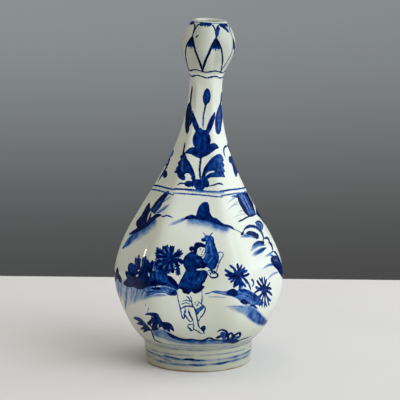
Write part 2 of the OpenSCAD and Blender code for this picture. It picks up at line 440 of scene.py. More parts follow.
def hairs(across, along):
    """Streaks left by the hairs of the brush: three sines across the stroke that drift along it."""
    drift = across + 0.9 * np.sin(0.23 * along + 0.3 * across) + 0.3 * np.sin(0.9 * along)
    broad = np.sin(1.7 * drift)
    middle = np.sin(3.9 * drift + 0.3 * along + 1.3)
    fine = np.sin(6.7 * drift - 0.4 * along + 0.7)
    return 1 + STREAK * (broad + middle + fine) / 1.5


def taper(share, ends):
    """Share of the full width along a stroke, growing from the share that each of its ends starts with."""
    return np.minimum(1.0, np.minimum(ends[0] + share / TAPER, ends[1] + (1 - share) / TAPER))


def tone_along(tone, share):
    """Tone along a stroke: one tone all the way, or a pair that runs from the first to the second."""
    first, last = np.broadcast_to(tone, 2)
    return first + (last - first) * share


print("a stroke starts with", taper(np.array(0.0), (0.3, 0.3)), "of its full width")

# %% [markdown]
# Two layers hold the ink. The crisp layer stores how deep a point lies inside a brush mark, in mm, and
# the tone of that mark. The edge of a mark is then a smooth slope through zero, which stays sharp
# between points that lie half a millimetre apart. The soft layer stores only the tone of the washes.
# Vertex colours could hold the finished blue, but their edges would show the grid.

# %% The raw skin and its two layers of ink
INK_REACH = 1.2
INK_EDGE = 0.5
POOL_WIDTH = 1.5
LEAF_ENDS = 0.12
WET_ENDS = (0.25, 0.25)
THIN_ENDS = (0.3, 0.3)
FADED_ENDS = 0.15
RIDGE_EDGE = 0.3


class RawSkin:
    """The unfired skin with its two layers of ink."""

    def __init__(self, angle, reach, up):
        """Begin with bare clay: no ink, no tone and no wash."""
        self.angle, self.reach, self.length = angle, reach, up
        self.cover = np.full(angle.shape, -INK_REACH)
        self.tone = np.zeros(angle.shape)
        self.wash = np.zeros(angle.shape)
        self.face(0)

    def face(self, degrees, mirror=False, lift=0.0, size=1.0):
        """Turn the vase to a middle line this far round; the sheet may be mirrored, lifted and enlarged."""
        turn = (self.angle - FRONT - math.radians(degrees) + math.pi) % (2 * math.pi) - math.pi
        self.across = self.reach * (-turn if mirror else turn) / size
        self.up = (self.length - lift) / size

    def near(self, path, margin):
        """The points within a margin of the path's box, as their numbers and their places on the sheet."""
        low, high = path.min(axis=0) - margin, path.max(axis=0) + margin
        wide = (self.across > low[0]) & (self.across < high[0])
        here = np.flatnonzero(wide & (self.up > low[1]) & (self.up < high[1]))
        return here, np.stack([self.across[here], self.up[here]], axis=-1)

    def lay(self, here, cover, tone):
        """Crisp ink: keep the deeper cover, and take the new tone where this mark covers."""
        amount = np.where(self.cover[here] < -INK_EDGE, 1.0, smooth(0.5 + cover / INK_EDGE))
        self.tone[here] += (tone - self.tone[here]) * amount
        self.cover[here] = np.maximum(self.cover[here], cover)

    def soak(self, here, tone):
        """Soft ink: keep the darker of the washes."""
        self.wash[here] = np.maximum(self.wash[here], tone)

    def brush(self, route, width, tone, ends=THIN_ENDS):
        """A stroke: half its width, tapered to these shares at its ends, less the distance to its route."""
        path = through(route)
        here, points = self.near(path, width / 2 + INK_REACH)
        gap, share, side = to_path(points, path)
        ink = tone_along(tone, share) * hairs(side * gap, share * len(path))
        self.lay(here, width / 2 * taper(share, ends) - gap, ink)

    def leaf(self, base, tip, width, tone, bend=0.1):
        """A leaf: its half width follows the sine of its length and is fullest past the middle."""
        base, tip = np.array(base, dtype=float), np.array(tip, dtype=float)
        across, up = tip - base
        path = through([base, (base + tip) / 2 + bend * np.array([-up, across]), tip])
        here, points = self.near(path, width / 2 + INK_REACH)
        gap, share, side = to_path(points, path)
        swell = np.sin(np.pi * share ** 1.3) ** 0.7
        half = width / 2 * (LEAF_ENDS + (1 - LEAF_ENDS) * swell)
        edged = tone + 0.2 * (gap / half - 0.5)
        self.lay(here, half - gap, edged * hairs(side * gap, share * len(path)))

    def fill(self, outline, tone, far=None, toward=(0, -1), pool=0.1, soft=0.0):
        """A patch: signed distance to its outline, its tone eased towards a side and pooled at its edge."""
        ring = through(outline, closed=True)
        here, points = self.near(ring, INK_REACH + soft)
        gap, _, _ = to_path(points, ring)
        cover = np.where(inside(points, ring), gap, -gap)
        way = np.array(toward, dtype=float) / np.hypot(*toward)
        along, span = points @ way, ring @ way
        across = points @ np.array([-way[1], way[0]])
        share = np.clip((along - span.min()) / np.ptp(span), 0.0, 1.0)
        ink = tone_along((tone, tone if far is None else far), share)
        ink = ink * hairs(0.7 * across, 0.9 * along) ** 0.5 + pool * (1 - smooth(cover / POOL_WIDTH))
        if soft:
            self.soak(here, ink * smooth(0.5 + cover / soft))
        else:
            self.lay(here, cover, ink)

    def drag(self, route, width, tone, soft=0.7):
        """A wet stroke: full in its middle, eased to nothing at its edges, its tone run from end to end."""
        path = through(route)
        here, points = self.near(path, width / 2)
        gap, share, side = to_path(points, path)
        half = width / 2 * taper(share, WET_ENDS)
        ink = tone_along(tone, share) * smooth((half - gap) / (soft * half))
        self.soak(here, ink * hairs(1.4 * side * gap, share * len(path)))

    def shade(self, route, depth, tone, below=-1):
        """A wash drawn down from a ridge: full at the route and fading over a depth on one side of it."""
        path = through(route)
        here, points = self.near(path, depth)
        gap, share, side = to_path(points, path)
        ends = smooth(np.minimum(share, 1 - share) / FADED_ENDS)
        on_side = (side == below) | (gap < RIDGE_EDGE)
        self.soak(here, tone * smooth(1 - gap / depth) * ends * on_side * hairs(gap, share * len(path)))

    def spare(self, route, width):
        """Bare clay left between marks: both layers are cleared along a stroke."""
        path = through(route)
        here, points = self.near(path, width / 2 + INK_REACH)
        gap, share, _ = to_path(points, path)
        bare = width / 2 * taper(share, THIN_ENDS) - gap
        self.cover[here] = np.minimum(self.cover[here], -bare)
        self.wash[here] *= 1 - smooth(0.5 + bare / INK_EDGE)

    def ring(self, up, width, tone, wander=0.0, waves=3, start=0.0, breaks=0.0, wet=False):
        """A line round the vase: its height wanders as a sine of the angle, and its tone comes and goes."""
        middle = up + wander * np.sin(waves * self.angle + start)
        here = np.flatnonzero(np.abs(self.length - middle) < width / 2 + INK_REACH)
        angle, gap = self.angle[here], np.abs(self.length - middle)[here]
        patchy = np.sin(5 * angle + start) + np.sin(11 * angle + 2 * start) + np.sin(17 * angle + 5 * start)
        ink = tone * np.clip(1 - breaks * (0.5 + patchy / 4), 0.0, 1.2)
        if wet:
            self.soak(here, ink * smooth(1 - gap / width))
        else:
            self.lay(here, width * (1 + 0.15 * patchy) / 2 - gap, ink)


piece_list = [piece for piece, _ in sections.values()] + [foot_ring]
all_angle = [where[0] for _, where in sections.values()] + [turn_round.ravel()]
all_reach = [corner_radius(where[1]) for _, where in sections.values()] + [radius_round.ravel()]
all_up = [np.interp(where[1], heights, lengths) for _, where in sections.values()]
all_up += [z_round.ravel() - FOOT_HEIGHT]
sheet_reach = PANEL_SHORTENING * np.concatenate(all_reach)
skin = RawSkin(np.concatenate(all_angle), sheet_reach, np.concatenate(all_up))
print(f"{len(skin.angle)} points to paint on")

# %% [markdown]
# A painter tries a motif on scrap before it goes on the vase. Here the scrap is a flat sheet with few
# points, so a form can be measured in a moment, and a slip in one of its numbers shows at once.

# %% A trial sheet
TRIAL_REACH = 100.0
TRIAL_STEP = 1.5
INKED_WASH = 0.2
trial_places = np.meshgrid(np.arange(-120.0, 120.0, TRIAL_STEP), np.arange(-20.0, 290.0, TRIAL_STEP))
trial_across, trial_up = (place.ravel() for place in trial_places)


def try_out(*forms):
    """Paint each form on a flat trial sheet and print how wide and how high it comes out."""
    for form in forms:
        trial = RawSkin(FRONT + trial_across / TRIAL_REACH, TRIAL_REACH, trial_up)
        form(trial)
        inked = (trial.cover > 0) | (trial.wash > INKED_WASH)
        wide, high = np.ptp(trial_across[inked]), np.ptp(trial_up[inked])
        print(f"{form.__name__}: {wide:.0f} mm wide and {high:.0f} mm high")


print(f"trial sheet of {len(trial_up)} points")

# %% [markdown]
# ## The landscape on the body
# Distant hills hang in the air, cliffs come in from both sides, and palms, rocks and low ground stand
# nearer. The painter lays pale washes first, then the body of each form, and last the dark accents.
# Each form is a function with a few points in mm, so the back of the vase can use the
# same forms again. The first form is the hill in the middle: a round peak on a ridge, with the mist
# below it left as a fading wash.

# %% Distant hill
def distant_hill(skin):
    """A round peak on a long ridge, over a wash that fades downwards."""
    skin.shade([(-10, 117.5), (0, 118), (10, 117), (20, 113.5), (29, 109.5)], 9, 0.62)
    skin.drag([(-7, 118), (-14, 114.5), (-22, 110.5)], 4, (0.5, 0.1))
    skin.fill([(-10, 116.5), (-8, 119), (-4, 120.6), (-0.5, 120), (0.5, 124), (2, 128.5), (4.5, 131.3),
               (7, 132), (9, 131), (10.2, 127), (10.8, 123.5), (13, 119.5), (16, 118.5), (19, 116),
               (22, 113.5), (25, 112.6), (24, 111), (18, 113), (10, 115.3), (0, 116.8),
               (-5, 116.8)], 0.72, 0.86)
    skin.brush([(22, 113.2), (27, 111), (31.5, 108.2)], 1.9, 0.92)
    skin.brush([(31, 108.6), (36, 106.3), (41, 103.6)], 0.8, 0.55)


try_out(distant_hill)

# %% [markdown]
# The cliffs hang from the shoulder line on both sides. A rock is a pale patch with dark strokes along
# its edges, and the bare clay that is spared between two dark patches keeps them apart. Spared lines
# could also be painted white, but porcelain has no white paint.

# %% Cliffs
def left_cliff(skin):
    """Two leaning slabs over a long slope, with a pale gap between the slabs."""
    skin.drag([(-20, 135.5), (-27, 131), (-33, 127)], 1.8, (0.2, 0.5))
    skin.drag([(-22, 128), (-30, 122), (-37, 118.5)], 4, (0.2, 0.6))
    skin.fill([(-24.5, 137.8), (-29, 137.8), (-35.5, 133), (-41, 128.4), (-45.5, 124), (-49.5, 119.6),
               (-44, 117.5), (-39.5, 117.5), (-36, 121.5), (-32, 126.8), (-27.5, 132.5)], 0.6, pool=0.2)
    skin.brush([(-26.5, 137.2), (-34, 132.5), (-41, 127), (-48, 120)], 3.4, 0.98)
    skin.brush([(-28, 134.5), (-33.5, 128.5), (-40, 121.5)], 1.6, 0.82)
    skin.brush([(-31, 127), (-36, 122), (-41, 119.5)], 1.2, 0.8)
    skin.brush([(-31, 118), (-27, 117.3), (-23.5, 118.6), (-20.5, 118), (-18, 117)], 1.2, 0.7)
    skin.shade([(-34, 117), (-42, 112.5), (-50, 107.5), (-58, 103.5), (-68, 99),
                (-80, 94)], 11, 0.6, below=1)
    skin.drag([(-45, 108), (-60, 99), (-74, 91), (-86, 83)], 9, (0.3, 0.66))
    skin.brush([(-30, 118), (-36, 116.3), (-42, 112.5), (-50, 107.5), (-58, 103.5), (-66, 100),
                (-78, 95)], 4.6, 0.95)
    skin.drag([(-42, 101.5), (-56, 98.5), (-74, 92)], 3, (0.12, 0.55))
    skin.fill([(-54, 124.3), (-57.5, 122), (-60.5, 117.5), (-64, 112), (-69, 107.5), (-69.5, 104),
               (-63, 101.5), (-56, 104), (-49, 109), (-45.5, 113.5), (-47, 118), (-50, 120)], 0.95, 0.9)
    skin.spare([(-48, 118.6), (-49.7, 115), (-50.7, 109.5)], 1.9)


def right_cliff(skin):
    """A broad slab streaked down its face, partly paler as a painted sheen, with pale wet strokes beside it.
    """
    # The middle of the slab is laid paler than its edges: partly the wash itself, partly a painted sheen of
    # light on the glaze.
    skin.fill([(38, 136.8), (47, 137.6), (53, 137), (58, 133.5), (61.5, 128), (64, 121), (65, 116.4),
               (57, 115.5), (52.5, 117), (48, 123), (43.5, 129), (40.5, 134)], 0.5, 0.56, toward=(0.6, -1))
    skin.drag([(30, 136), (36, 135.6), (41, 134)], 3, (0.3, 0.75))
    skin.brush([(40, 136), (43.5, 130), (48.5, 123.5), (54.5, 116.5)], 4.6, 0.95)
    skin.brush([(47, 137.3), (55, 135), (60, 129), (64, 119)], 4.2, 1.0)
    # The pale streaks between the dark ones are brushwork and also a painted sheen of light on the glaze.
    for route, tone in (
            ([(45.5, 135), (50, 128), (56, 119)], 0.36), ([(48, 134), (52.5, 127.5), (58, 118.5)], 0.8),
            ([(50.5, 134), (54.5, 128), (60, 118)], 0.34),
            ([(52.5, 133.5), (56.5, 128.5), (61.5, 119)], 0.84)):
        skin.brush(route, 1.0, tone)
    skin.spare([(57, 137), (62.5, 130), (66.4, 122.5), (67, 117)], 1.6)
    for start, middle, end, tone in (
            ((24, 131), (31, 133.5), (37, 134.5), 0.35), ((23, 124.5), (32, 128.5), (41, 128.5), 0.3),
            ((29, 126.5), (37, 130.5), (43, 130), 0.25), ((36, 120.5), (43, 122.5), (50, 121.5), 0.28),
            ((30, 118), (40, 119.5), (50, 119), 0.15)):
        skin.drag([start, middle, end], 1.8, (0.08, tone))
    skin.brush([(37.5, 114.2), (44, 114.8), (54, 116.3), (66, 117)], 1.4, 0.95, ends=(0.6, 0.6))
    skin.fill([(68, 122.6), (73, 118.6), (78, 113), (84, 104), (78, 107), (72, 112.6), (66.4, 117)], 0.95)


try_out(left_cliff, right_cliff)

# %% [markdown]
# Clouds curl down the right edge of the scene. Each scroll is a firm curved line with wet strokes
# inside, which start pale in the open sky and end dark under the line.

# %% Cloud scrolls
def cloud_scrolls(skin):
    """Curled lines, each with wet strokes that darken towards it, down to a dark mass."""
    skin.drag([(38, 101), (48, 101), (58, 99), (66, 96.5)], 5, (0.25, 0.7))
    skin.brush([(40, 103.2), (43, 103.8)], 2.6, 0.95, ends=(0.8, 0.5))
    skin.brush([(41.5, 104), (46, 107), (53, 108), (61, 106.7), (66, 104.4), (70.5, 101), (73, 95.5),
                (71.5, 92)], 2.6, 0.8)
    skin.fill([(46.5, 103), (52, 104.2), (60, 102.3), (66.5, 98.8), (63, 95.6), (58, 98.6),
               (50.5, 101)], 0.84)
    skin.fill([(63, 110), (68.5, 110.5), (74.5, 106.5), (72.5, 102), (67, 104.5)], 0.46)
    skin.brush([(62.4, 109.6), (68.5, 110.4), (74.5, 106.4), (72.2, 102)], 1.3, 0.86)
    skin.brush([(65, 108.6), (69.5, 106.5), (71, 103.6)], 1.0, 0.8)
    skin.drag([(50, 87.6), (58, 90), (66, 91), (74, 89)], 5, (0.15, 0.7))
    skin.brush([(52, 89.6), (58, 92), (64, 92.8), (72.6, 91.3)], 2.6, (0.35, 0.95), ends=(0.1, 0.9))
    skin.drag([(52, 83.6), (62, 84.8), (75.7, 86.4)], 5.5, (0.15, 0.95))
    skin.brush([(73.5, 94.6), (78, 94.6), (81, 92.6), (82.4, 89.7)], 2.2, 0.86)
    skin.brush([(80.4, 90.2), (83.5, 88.5), (85.2, 85.5), (85.6, 81.4)], 2.4, 0.95)
    skin.drag([(76, 80.4), (81, 80.8), (86, 81.6)], 2.2, (0.3, 0.8))
    skin.brush([(86, 81.4), (89.5, 80), (93, 76.4), (98, 72)], 1.8, 0.9)
    skin.drag([(72, 79.5), (80, 79.6), (88.6, 76.6)], 2.6, (0.2, 0.8))
    skin.fill([(81, 76), (84, 78), (90, 77.4), (95, 74), (100, 70), (104.5, 64), (109, 55), (104, 54),
               (99.5, 58), (95, 61.6), (91, 65.6), (86.6, 69), (83, 71.5)], 0.88)
    skin.brush([(86, 75), (91, 73), (95, 69.6)], 0.8, 0.35)
    skin.drag([(66, 70.4), (77, 72), (86, 71)], 2.8, (0.12, 0.65))
    skin.drag([(72, 60), (82, 63.5), (92, 64)], 2.8, (0.1, 0.5))


try_out(cloud_scrolls)

# %% [markdown]
# Palms stand on both banks. A frond is one loaded brush stroke, broad and blunt at its tip, and its rib
# is a darker stroke on top. The leafy palm has feathered fronds instead, whose leaflets are short
# strokes in pairs. Instancing one modelled frond would be quick, but it would look stamped, so every
# frond has its own tip.

# %% Palms
def palm(skin, heart, tips, width, tone):
    """Bent strokes from a heart to their blunt tips, with a dark rib in each."""
    heart, tips = np.array(heart, dtype=float), np.array(tips, dtype=float)
    for k, tip in enumerate(tips):
        across, up = tip - heart
        middle = (heart + tip) / 2 + 0.06 * (-1) ** k * np.array([-up, across])
        frond_width = width * (1 - 0.12 * (k % 2))
        skin.brush([heart, middle, tip], frond_width, tone - 0.06 * (k % 3), ends=(0.3, 0.75))
        skin.brush([heart, heart + 0.5 * (tip - heart)], 0.7, (1.0, 0.8))


def fern(skin, route, width, tone, pairs=6):
    """A feathered frond: a broad stroke, pairs of leaflets that lean towards the tip, and a dark rib."""
    path = through(route)
    skin.brush(route, 0.6 * width, 0.85 * tone, ends=(0.5, 0.2))
    spots = np.linspace(0.15, 0.85, pairs) * (len(path) - 2)
    for k in spots.astype(int):
        ahead = path[k + 1] - path[k]
        ahead = ahead / np.hypot(*ahead)
        beside = np.array([-ahead[1], ahead[0]])
        length = width * (0.35 + 0.3 * math.sin(math.pi * k / len(path)))
        for side in (-1, 1):
            leaflet = path[k] + length * (0.8 * ahead + 0.75 * side * beside)
            skin.brush([path[k], leaflet], 1.1, tone, ends=(0.9, 0.2))
    skin.brush(route, 0.8, 1.1, ends=(0.6, 0.4))


def leafy_palm(skin):
    """Feathered fronds round a dark crown, with short pale strokes where the light falls between."""
    skin.fill([(-32, 79), (-27, 83), (-21, 83), (-17, 79), (-19, 73), (-27, 71.5),
               (-32, 74)], 0.46, pool=0.0, soft=2.5)
    skin.fill([(-24, 87), (-20, 88), (-16, 86), (-15, 82), (-19, 78), (-20.5, 72), (-27, 72), (-28.5, 77),
               (-27, 82)], 0.7)
    for route, width in (
            ([(-20, 84), (-22.4, 90), (-23.6, 94)], 5), ([(-19.5, 84), (-18.6, 90), (-18, 94.4)], 4),
            ([(-19, 84.5), (-15, 86.4), (-10.6, 90.4)], 6), ([(-20.5, 85), (-26, 88.4), (-30.6, 89.6)], 6),
            ([(-20.5, 84), (-26, 85.4), (-31, 85.6)], 5), ([(-20.5, 83), (-27, 81.5), (-31.6, 78)], 6),
            ([(-20.5, 82), (-25, 78), (-27.4, 74)], 6), ([(-20, 82), (-22, 77), (-22.6, 73)], 5),
            ([(-19, 83.4), (-14.6, 80.4), (-13.4, 75), (-13, 70)], 4.5),
            ([(-19, 84), (-13, 83), (-8.8, 79.8)], 4), ([(-19.6, 82), (-17.8, 77), (-17.2, 71.4)], 3)):
        fern(skin, route, width, 0.8)
    for route in (
            [(-24.8, 91), (-22.6, 87.6)], [(-21.4, 92.6), (-20.2, 88.6)], [(-16.6, 90), (-17.2, 87)],
            [(-28.4, 87.3), (-25, 86.6)], [(-28, 83.6), (-25, 83.2)], [(-28.6, 79), (-25.6, 80)],
            [(-24.4, 76), (-23, 79)], [(-20, 76), (-19.8, 79.6)], [(-16.4, 77), (-16.6, 80)],
            [(-14.8, 84.6), (-12.6, 84.6)]):
        skin.brush(route, 0.9, 0.22)


try_out(leafy_palm)

# %% [markdown]
# The left bank is a dark ridge over reflections in the water, with a rock in front, a bush and a small
# plant at the shore. The reflections are wet strokes that run out downwards. The bush is a dark mass
# first, then blunt leaves, then pale and dark ribs, in the order in which a painter works.

# %% Left bank
def bank_washes(skin):
    """Reflections under the bank: one broad wash, and wet strokes that lean and run out downwards."""
    skin.fill([(-104, 55), (-92, 57), (-76, 58), (-60, 59), (-44, 60), (-40, 56), (-50, 47), (-62, 42),
               (-76, 39), (-90, 42)], 0.34, 0.1, pool=0.0, soft=8)
    for route, width, tone in (
            ([(-95, 55), (-97, 46), (-99, 39)], 9, (0.46, 0.1)),
            ([(-84, 55), (-87, 45), (-91, 36)], 10, (0.5, 0.12)),
            ([(-71, 55), (-76, 44), (-82, 34)], 8, (0.56, 0.12)),
            ([(-63, 56), (-67, 46), (-73, 37)], 9, (0.5, 0.1)),
            ([(-51.5, 57), (-58, 47), (-66, 40)], 10, (0.6, 0.12)),
            ([(-41, 58), (-47, 51), (-56, 45)], 9, (0.56, 0.12)),
            ([(-33, 57), (-41, 52), (-52, 47)], 8, (0.6, 0.1)),
            ([(-22, 55), (-32, 54.2), (-44, 49.5)], 5, (0.4, 0.1))):
        skin.drag(route, width, tone, soft=1.0)
    for route, width, tone in (
            ([(-73, 55), (-77, 44), (-82, 30)], 7, (0.6, 0.3)),
            ([(-90, 55), (-93, 46), (-97, 37)], 7, (0.46, 0.2)),
            ([(-58, 56), (-63, 48), (-70, 40)], 6, (0.46, 0.16)),
            ([(-46, 57), (-52, 50), (-60, 44)], 5, (0.5, 0.14))):
        skin.drag(route, width, tone)
    skin.fill([(-42, 60), (-36, 62), (-28, 63), (-18, 61.4), (-14, 60), (-15, 57), (-25, 58),
               (-36, 58)], 0.4, pool=0.0, soft=1.5)


def bank_ridge(skin):
    """The dark ridge of the bank, with a few pale strokes in it."""
    skin.fill([(-80.5, 55.5), (-74.5, 60), (-66, 64), (-56, 64.5), (-43.5, 68), (-36, 70.5), (-35, 73),
               (-31.5, 74), (-27.5, 72.8), (-23, 72.6), (-21, 70), (-18, 67), (-13.5, 63.5), (-12, 60.5),
               (-14.5, 59.5), (-19, 61.4), (-26, 62.6), (-31, 62.2), (-37, 60.5), (-43, 57.5), (-51.5, 56),
               (-60, 56), (-72.5, 54)], 0.62, 0.98, toward=(-1, -0.5))
    skin.brush([(-66, 58), (-50, 59.5), (-40, 62), (-31, 64), (-22, 64)], 4.5, 1.0)
    for route, tone in (
            ([(-32.6, 72.4), (-33, 68)], 0.5), ([(-29.6, 72.6), (-29, 66)], 0.46),
            ([(-26, 70), (-27, 66.4)], 0.52), ([(-23.4, 71), (-22.6, 68)], 0.5)):
        skin.brush(route, 1.3, tone)
    skin.brush([(-21, 70), (-18, 66.8), (-13.5, 62)], 3.8, 1.1)


def bank_rock(skin):
    """A pale rock before the bank, dark along its top and at its right end."""
    skin.fill([(-41.5, 58.6), (-36, 60.2), (-31, 61), (-26.5, 60.5), (-23, 61.4), (-19, 60), (-15, 59),
               (-14.3, 55.5), (-17.5, 54.5), (-20.5, 55), (-23, 56.5), (-28.5, 56.4), (-34, 54.5),
               (-38.5, 53.5)], 0.28, 0.6, toward=(1, -0.4), pool=0.12)
    skin.brush([(-34, 59.4), (-29.5, 60.2), (-26.4, 59.8)], 2.2, 0.95)
    skin.brush([(-38, 56), (-33, 57.4), (-28, 58)], 1.4, 0.62)
    skin.brush([(-18.6, 56), (-16.4, 57.2), (-15.2, 58.8)], 2.6, 0.92)
    for route in (
            [(-25.6, 59.4), (-23.6, 57.8), (-21, 56.8)], [(-22.6, 60.6), (-20.6, 58.6)],
            [(-36, 58.6), (-32, 58.8)]):
        skin.brush(route, 0.9, 0.2)
    skin.spare([(-32, 61.4), (-28, 61.9), (-25, 61.8)], 0.6)


def bush(skin):
    """A dark mass with blunt upright leaves, ribs in them and gaps of bare clay."""
    skin.fill([(-58, 73), (-53, 76), (-47, 75), (-42, 76), (-38, 73), (-36, 66), (-46, 61),
               (-60, 61)], 0.74, 0.92)
    for route, width in (
            ([(-53, 66), (-53, 74), (-53.6, 81)], 6), ([(-44, 66), (-42.6, 74), (-42, 82)], 6.4)):
        skin.brush(route, width, (0.88, 0.66), ends=(1.0, 0.62))
    for base, tip, width in (
            ((-54, 68), (-58.6, 78.6), 5), ((-50, 68), (-49.6, 79), 4.4), ((-45, 68), (-45.6, 81), 4.4),
            ((-41, 68), (-38.4, 80.4), 4)):
        skin.brush([base, tip], width, 0.76, ends=(0.8, 0.7))
    skin.fill([(-72.4, 71), (-68, 74.2), (-62.5, 74.6), (-58.5, 73), (-56, 66), (-62, 61),
               (-70, 63)], 0.62, 0.84)
    for base, tip, width, tone in (
            ((-42, 65), (-37, 78.4), 5.6, 0.82), ((-38, 62), (-33.4, 80.5), 4.0, 0.92),
            ((-62, 58), (-75, 65), 5, 0.84), ((-50, 62), (-46, 70), 6, 0.9)):
        skin.brush([base, tip], width, tone, ends=(0.8, 0.7))
    for route in (
            [(-52, 68), (-53.2, 75), (-53, 80)], [(-44, 69), (-43, 77), (-42, 82)],
            [(-58, 65), (-64, 72.6)], [(-60, 63), (-70, 69)], [(-37, 66), (-35, 73), (-34, 78)]):
        skin.brush(route, 1.1, 1.1)
    for route in (
            [(-56, 78), (-55.4, 73)], [(-45, 80), (-44.6, 74)], [(-69, 72), (-65, 70)],
            [(-62, 73), (-60, 70)]):
        skin.brush(route, 0.9, 0.5)
    for route, width in (
            ([(-48.4, 80), (-48, 76.5), (-47.8, 74)], 1.5),
            ([(-55.5, 65.8), (-53, 66.6), (-51, 67.8)], 1.5),
            ([(-53, 70.3), (-51, 71), (-49.4, 71.8)], 1.0),
            ([(-36.6, 72), (-36.2, 70.3), (-36, 68.6)], 1.3)):
        skin.spare(route, width)


def shore_plant(skin):
    """A small plant at the far left, two patches and two leaves."""
    skin.fill([(-92.6, 66.4), (-95.4, 63.6), (-96.4, 60), (-94, 57), (-90.6, 57.4), (-89, 61),
               (-90, 64)], 0.84)
    skin.fill([(-88.4, 61.6), (-90.6, 57.4), (-88, 55), (-84, 55.6), (-83.6, 58.6), (-86, 60.4)], 0.95)
    skin.leaf((-93, 57), (-103, 62.5), 5, 0.86)
    skin.leaf((-94, 56), (-106, 56.6), 4, 0.8)
    skin.brush([(-92.6, 58), (-92.4, 62), (-92.6, 65)], 0.9, 1.0)


try_out(bank_washes, bank_ridge, bank_rock, bush, shore_plant)

# %% [markdown]
# A barefoot figure walks through the middle of the scene with a load on the shoulder. The coat and the
# load are washes with dark outlines and pale folds, and the legs are bare clay inside thin lines. The
# face is a plain one of a few short strokes. A relief could be modelled, but on the vase the figure is
# only ink.

# %% Walking figure
def shouldered_load(skin):
    """The load on the shoulder: a pale wash, a dark edge, light folds and its cord."""
    skin.fill([(9, 103.6), (13, 103.2), (15, 101), (15.2, 97), (16.2, 94), (17.7, 90), (19, 86), (18, 80),
               (16.5, 76), (13, 76), (10, 78), (8, 81), (6.5, 83.5), (8.3, 86), (9, 90), (8.6, 94),
               (8.4, 97), (9.6, 99.6), (7.5, 99.6), (5.5, 98.8), (5, 100.4),
               (7, 101.6)], 0.46, 0.66, toward=(1, -0.4))
    skin.brush([(14.5, 102), (15.2, 97), (17.5, 90.5), (19, 86), (18, 80), (16, 76)], 1.0, 0.86)
    for route, width in (
            ([(9.8, 101.6), (8.8, 97.6)], 1.0), ([(10.2, 96), (9.2, 92.5), (9.2, 88)], 1.2),
            ([(7.2, 84), (8, 81.2), (10.2, 79)], 1.4), ([(12, 99), (12.8, 92.5), (14.6, 87)], 0.9),
            ([(15, 86), (12.6, 83), (11.2, 80.5)], 1.1)):
        skin.brush(route, width, 0.32)
    skin.brush([(5, 100.2), (6.8, 99), (9.5, 99.3)], 1.8, 0.92)
    skin.brush([(6.2, 106), (8.6, 103)], 0.7, 0.8)
    skin.brush([(12, 103.2), (13.9, 106.3)], 0.7, 0.8)
    skin.brush([(11.2, 96), (11.4, 90), (11.8, 85)], 0.9, 0.72)
    skin.brush([(18, 88.3), (20, 89.8), (22.2, 89), (22.4, 87), (20.8, 83.5), (19.3, 80),
                (17.6, 74)], 0.7, 0.6, ends=(0.8, 0.8))


def coat(skin):
    """The coat with its sleeves: one wash, a dark hem, and thin lines for the folds."""
    skin.fill([(-2, 90), (-7, 87), (-9.2, 83), (-8.6, 78), (-7.2, 75), (-9.5, 70), (-12, 65), (-14.3, 61),
               (-11, 60), (-8, 57.6), (-5, 55.8), (-2.5, 58), (0, 56.6), (3, 57), (5.5, 58.5), (8.5, 62),
               (6.6, 63.5), (8.6, 66), (10.5, 70), (10.8, 73), (8, 76), (10, 78.3), (8, 81), (6, 85),
               (3, 86.5), (1, 87.8)], 0.74, 0.78)
    skin.brush([(-13, 61.5), (-8.5, 60), (-5, 57.8), (-2.5, 60), (1, 58.5), (5, 60), (8, 61.8)], 3, 0.92)
    skin.brush([(1, 78), (5, 77.4), (10, 78)], 2.4, 1.1)
    skin.brush([(5.5, 81), (8, 79.8), (10, 78.4)], 2.4, 1.0)
    skin.brush([(-9.6, 58), (-4.6, 57)], 2.0, 1.1)
    skin.brush([(3, 59.4), (7.4, 61)], 2.2, 1.1)
    for route in (
            [(-0.2, 86.4), (1.2, 83), (3.6, 82)], [(5.8, 73.6), (4.6, 69), (1.8, 64.4)],
            [(8.4, 72.6), (6.2, 67.4), (2.8, 63.2)]):
        skin.brush(route, 0.7, 0.44)
    skin.brush([(-2, 89), (-7, 86.3), (-8.8, 82), (-8, 77.5)], 1.1, 0.88)
    skin.brush([(-7.5, 75), (-6, 77.5), (-2, 78.5)], 0.9, 0.86)
    skin.brush([(-8, 72), (-11, 66.5), (-13, 62)], 1.0, 0.86)
    skin.brush([(0, 73), (-2, 68), (-6, 63)], 0.9, 0.85)


def hands(skin):
    """The forearm left bare, and the hands that hold the load, in thin lines."""
    skin.spare([(2, 75.4), (6, 75.7), (11.5, 75.3)], 1.5)
    skin.brush([(2.5, 74.3), (7, 74.8), (11.5, 74)], 0.6, 0.85)
    skin.brush([(11.2, 74.8), (13.5, 75.2), (17, 73.5), (18.9, 71), (17.5, 69.6), (15, 69.2), (12.5, 70.2),
                (11, 72.5)], 1.2, 1.0)
    skin.brush([(12.4, 74), (13.4, 71.4)], 0.8, 0.95)
    skin.brush([(13.8, 74.2), (15, 72)], 0.8, 0.95)
    skin.brush([(15.4, 74), (16.4, 72)], 0.7, 0.9)


def figure_head(skin):
    """The hair with its knot, and a plain face of six short strokes."""
    skin.fill([(-1, 94), (0.5, 97), (4, 97.6), (7.5, 96.2), (8.6, 93.8), (7, 93.3), (5, 93.7), (3, 92.8),
               (2, 91), (1.6, 88), (0.5, 87.3), (-1.2, 90)], 0.92)
    skin.fill([(-4.6, 92.5), (-2.8, 94.2), (-1, 93), (-1.5, 90.6), (-3.6, 90.2)], 0.92)
    skin.brush([(8.5, 93.5), (8.7, 90.5), (7.5, 87), (5.5, 85.9), (3.2, 86.6), (2, 88.5)], 0.6, 0.8)
    for route in ([(4, 91.4), (5.3, 91.2)], [(6.7, 91.1), (7.7, 91.2)], [(6.3, 91), (6.6, 89.4), (6, 89.1)],
                  [(5.2, 87.7), (6.5, 87.7)], [(3.8, 92.3), (5.2, 92.4)], [(6.7, 92.3), (7.8, 92.2)]):
        skin.brush(route, 0.5, 0.75)


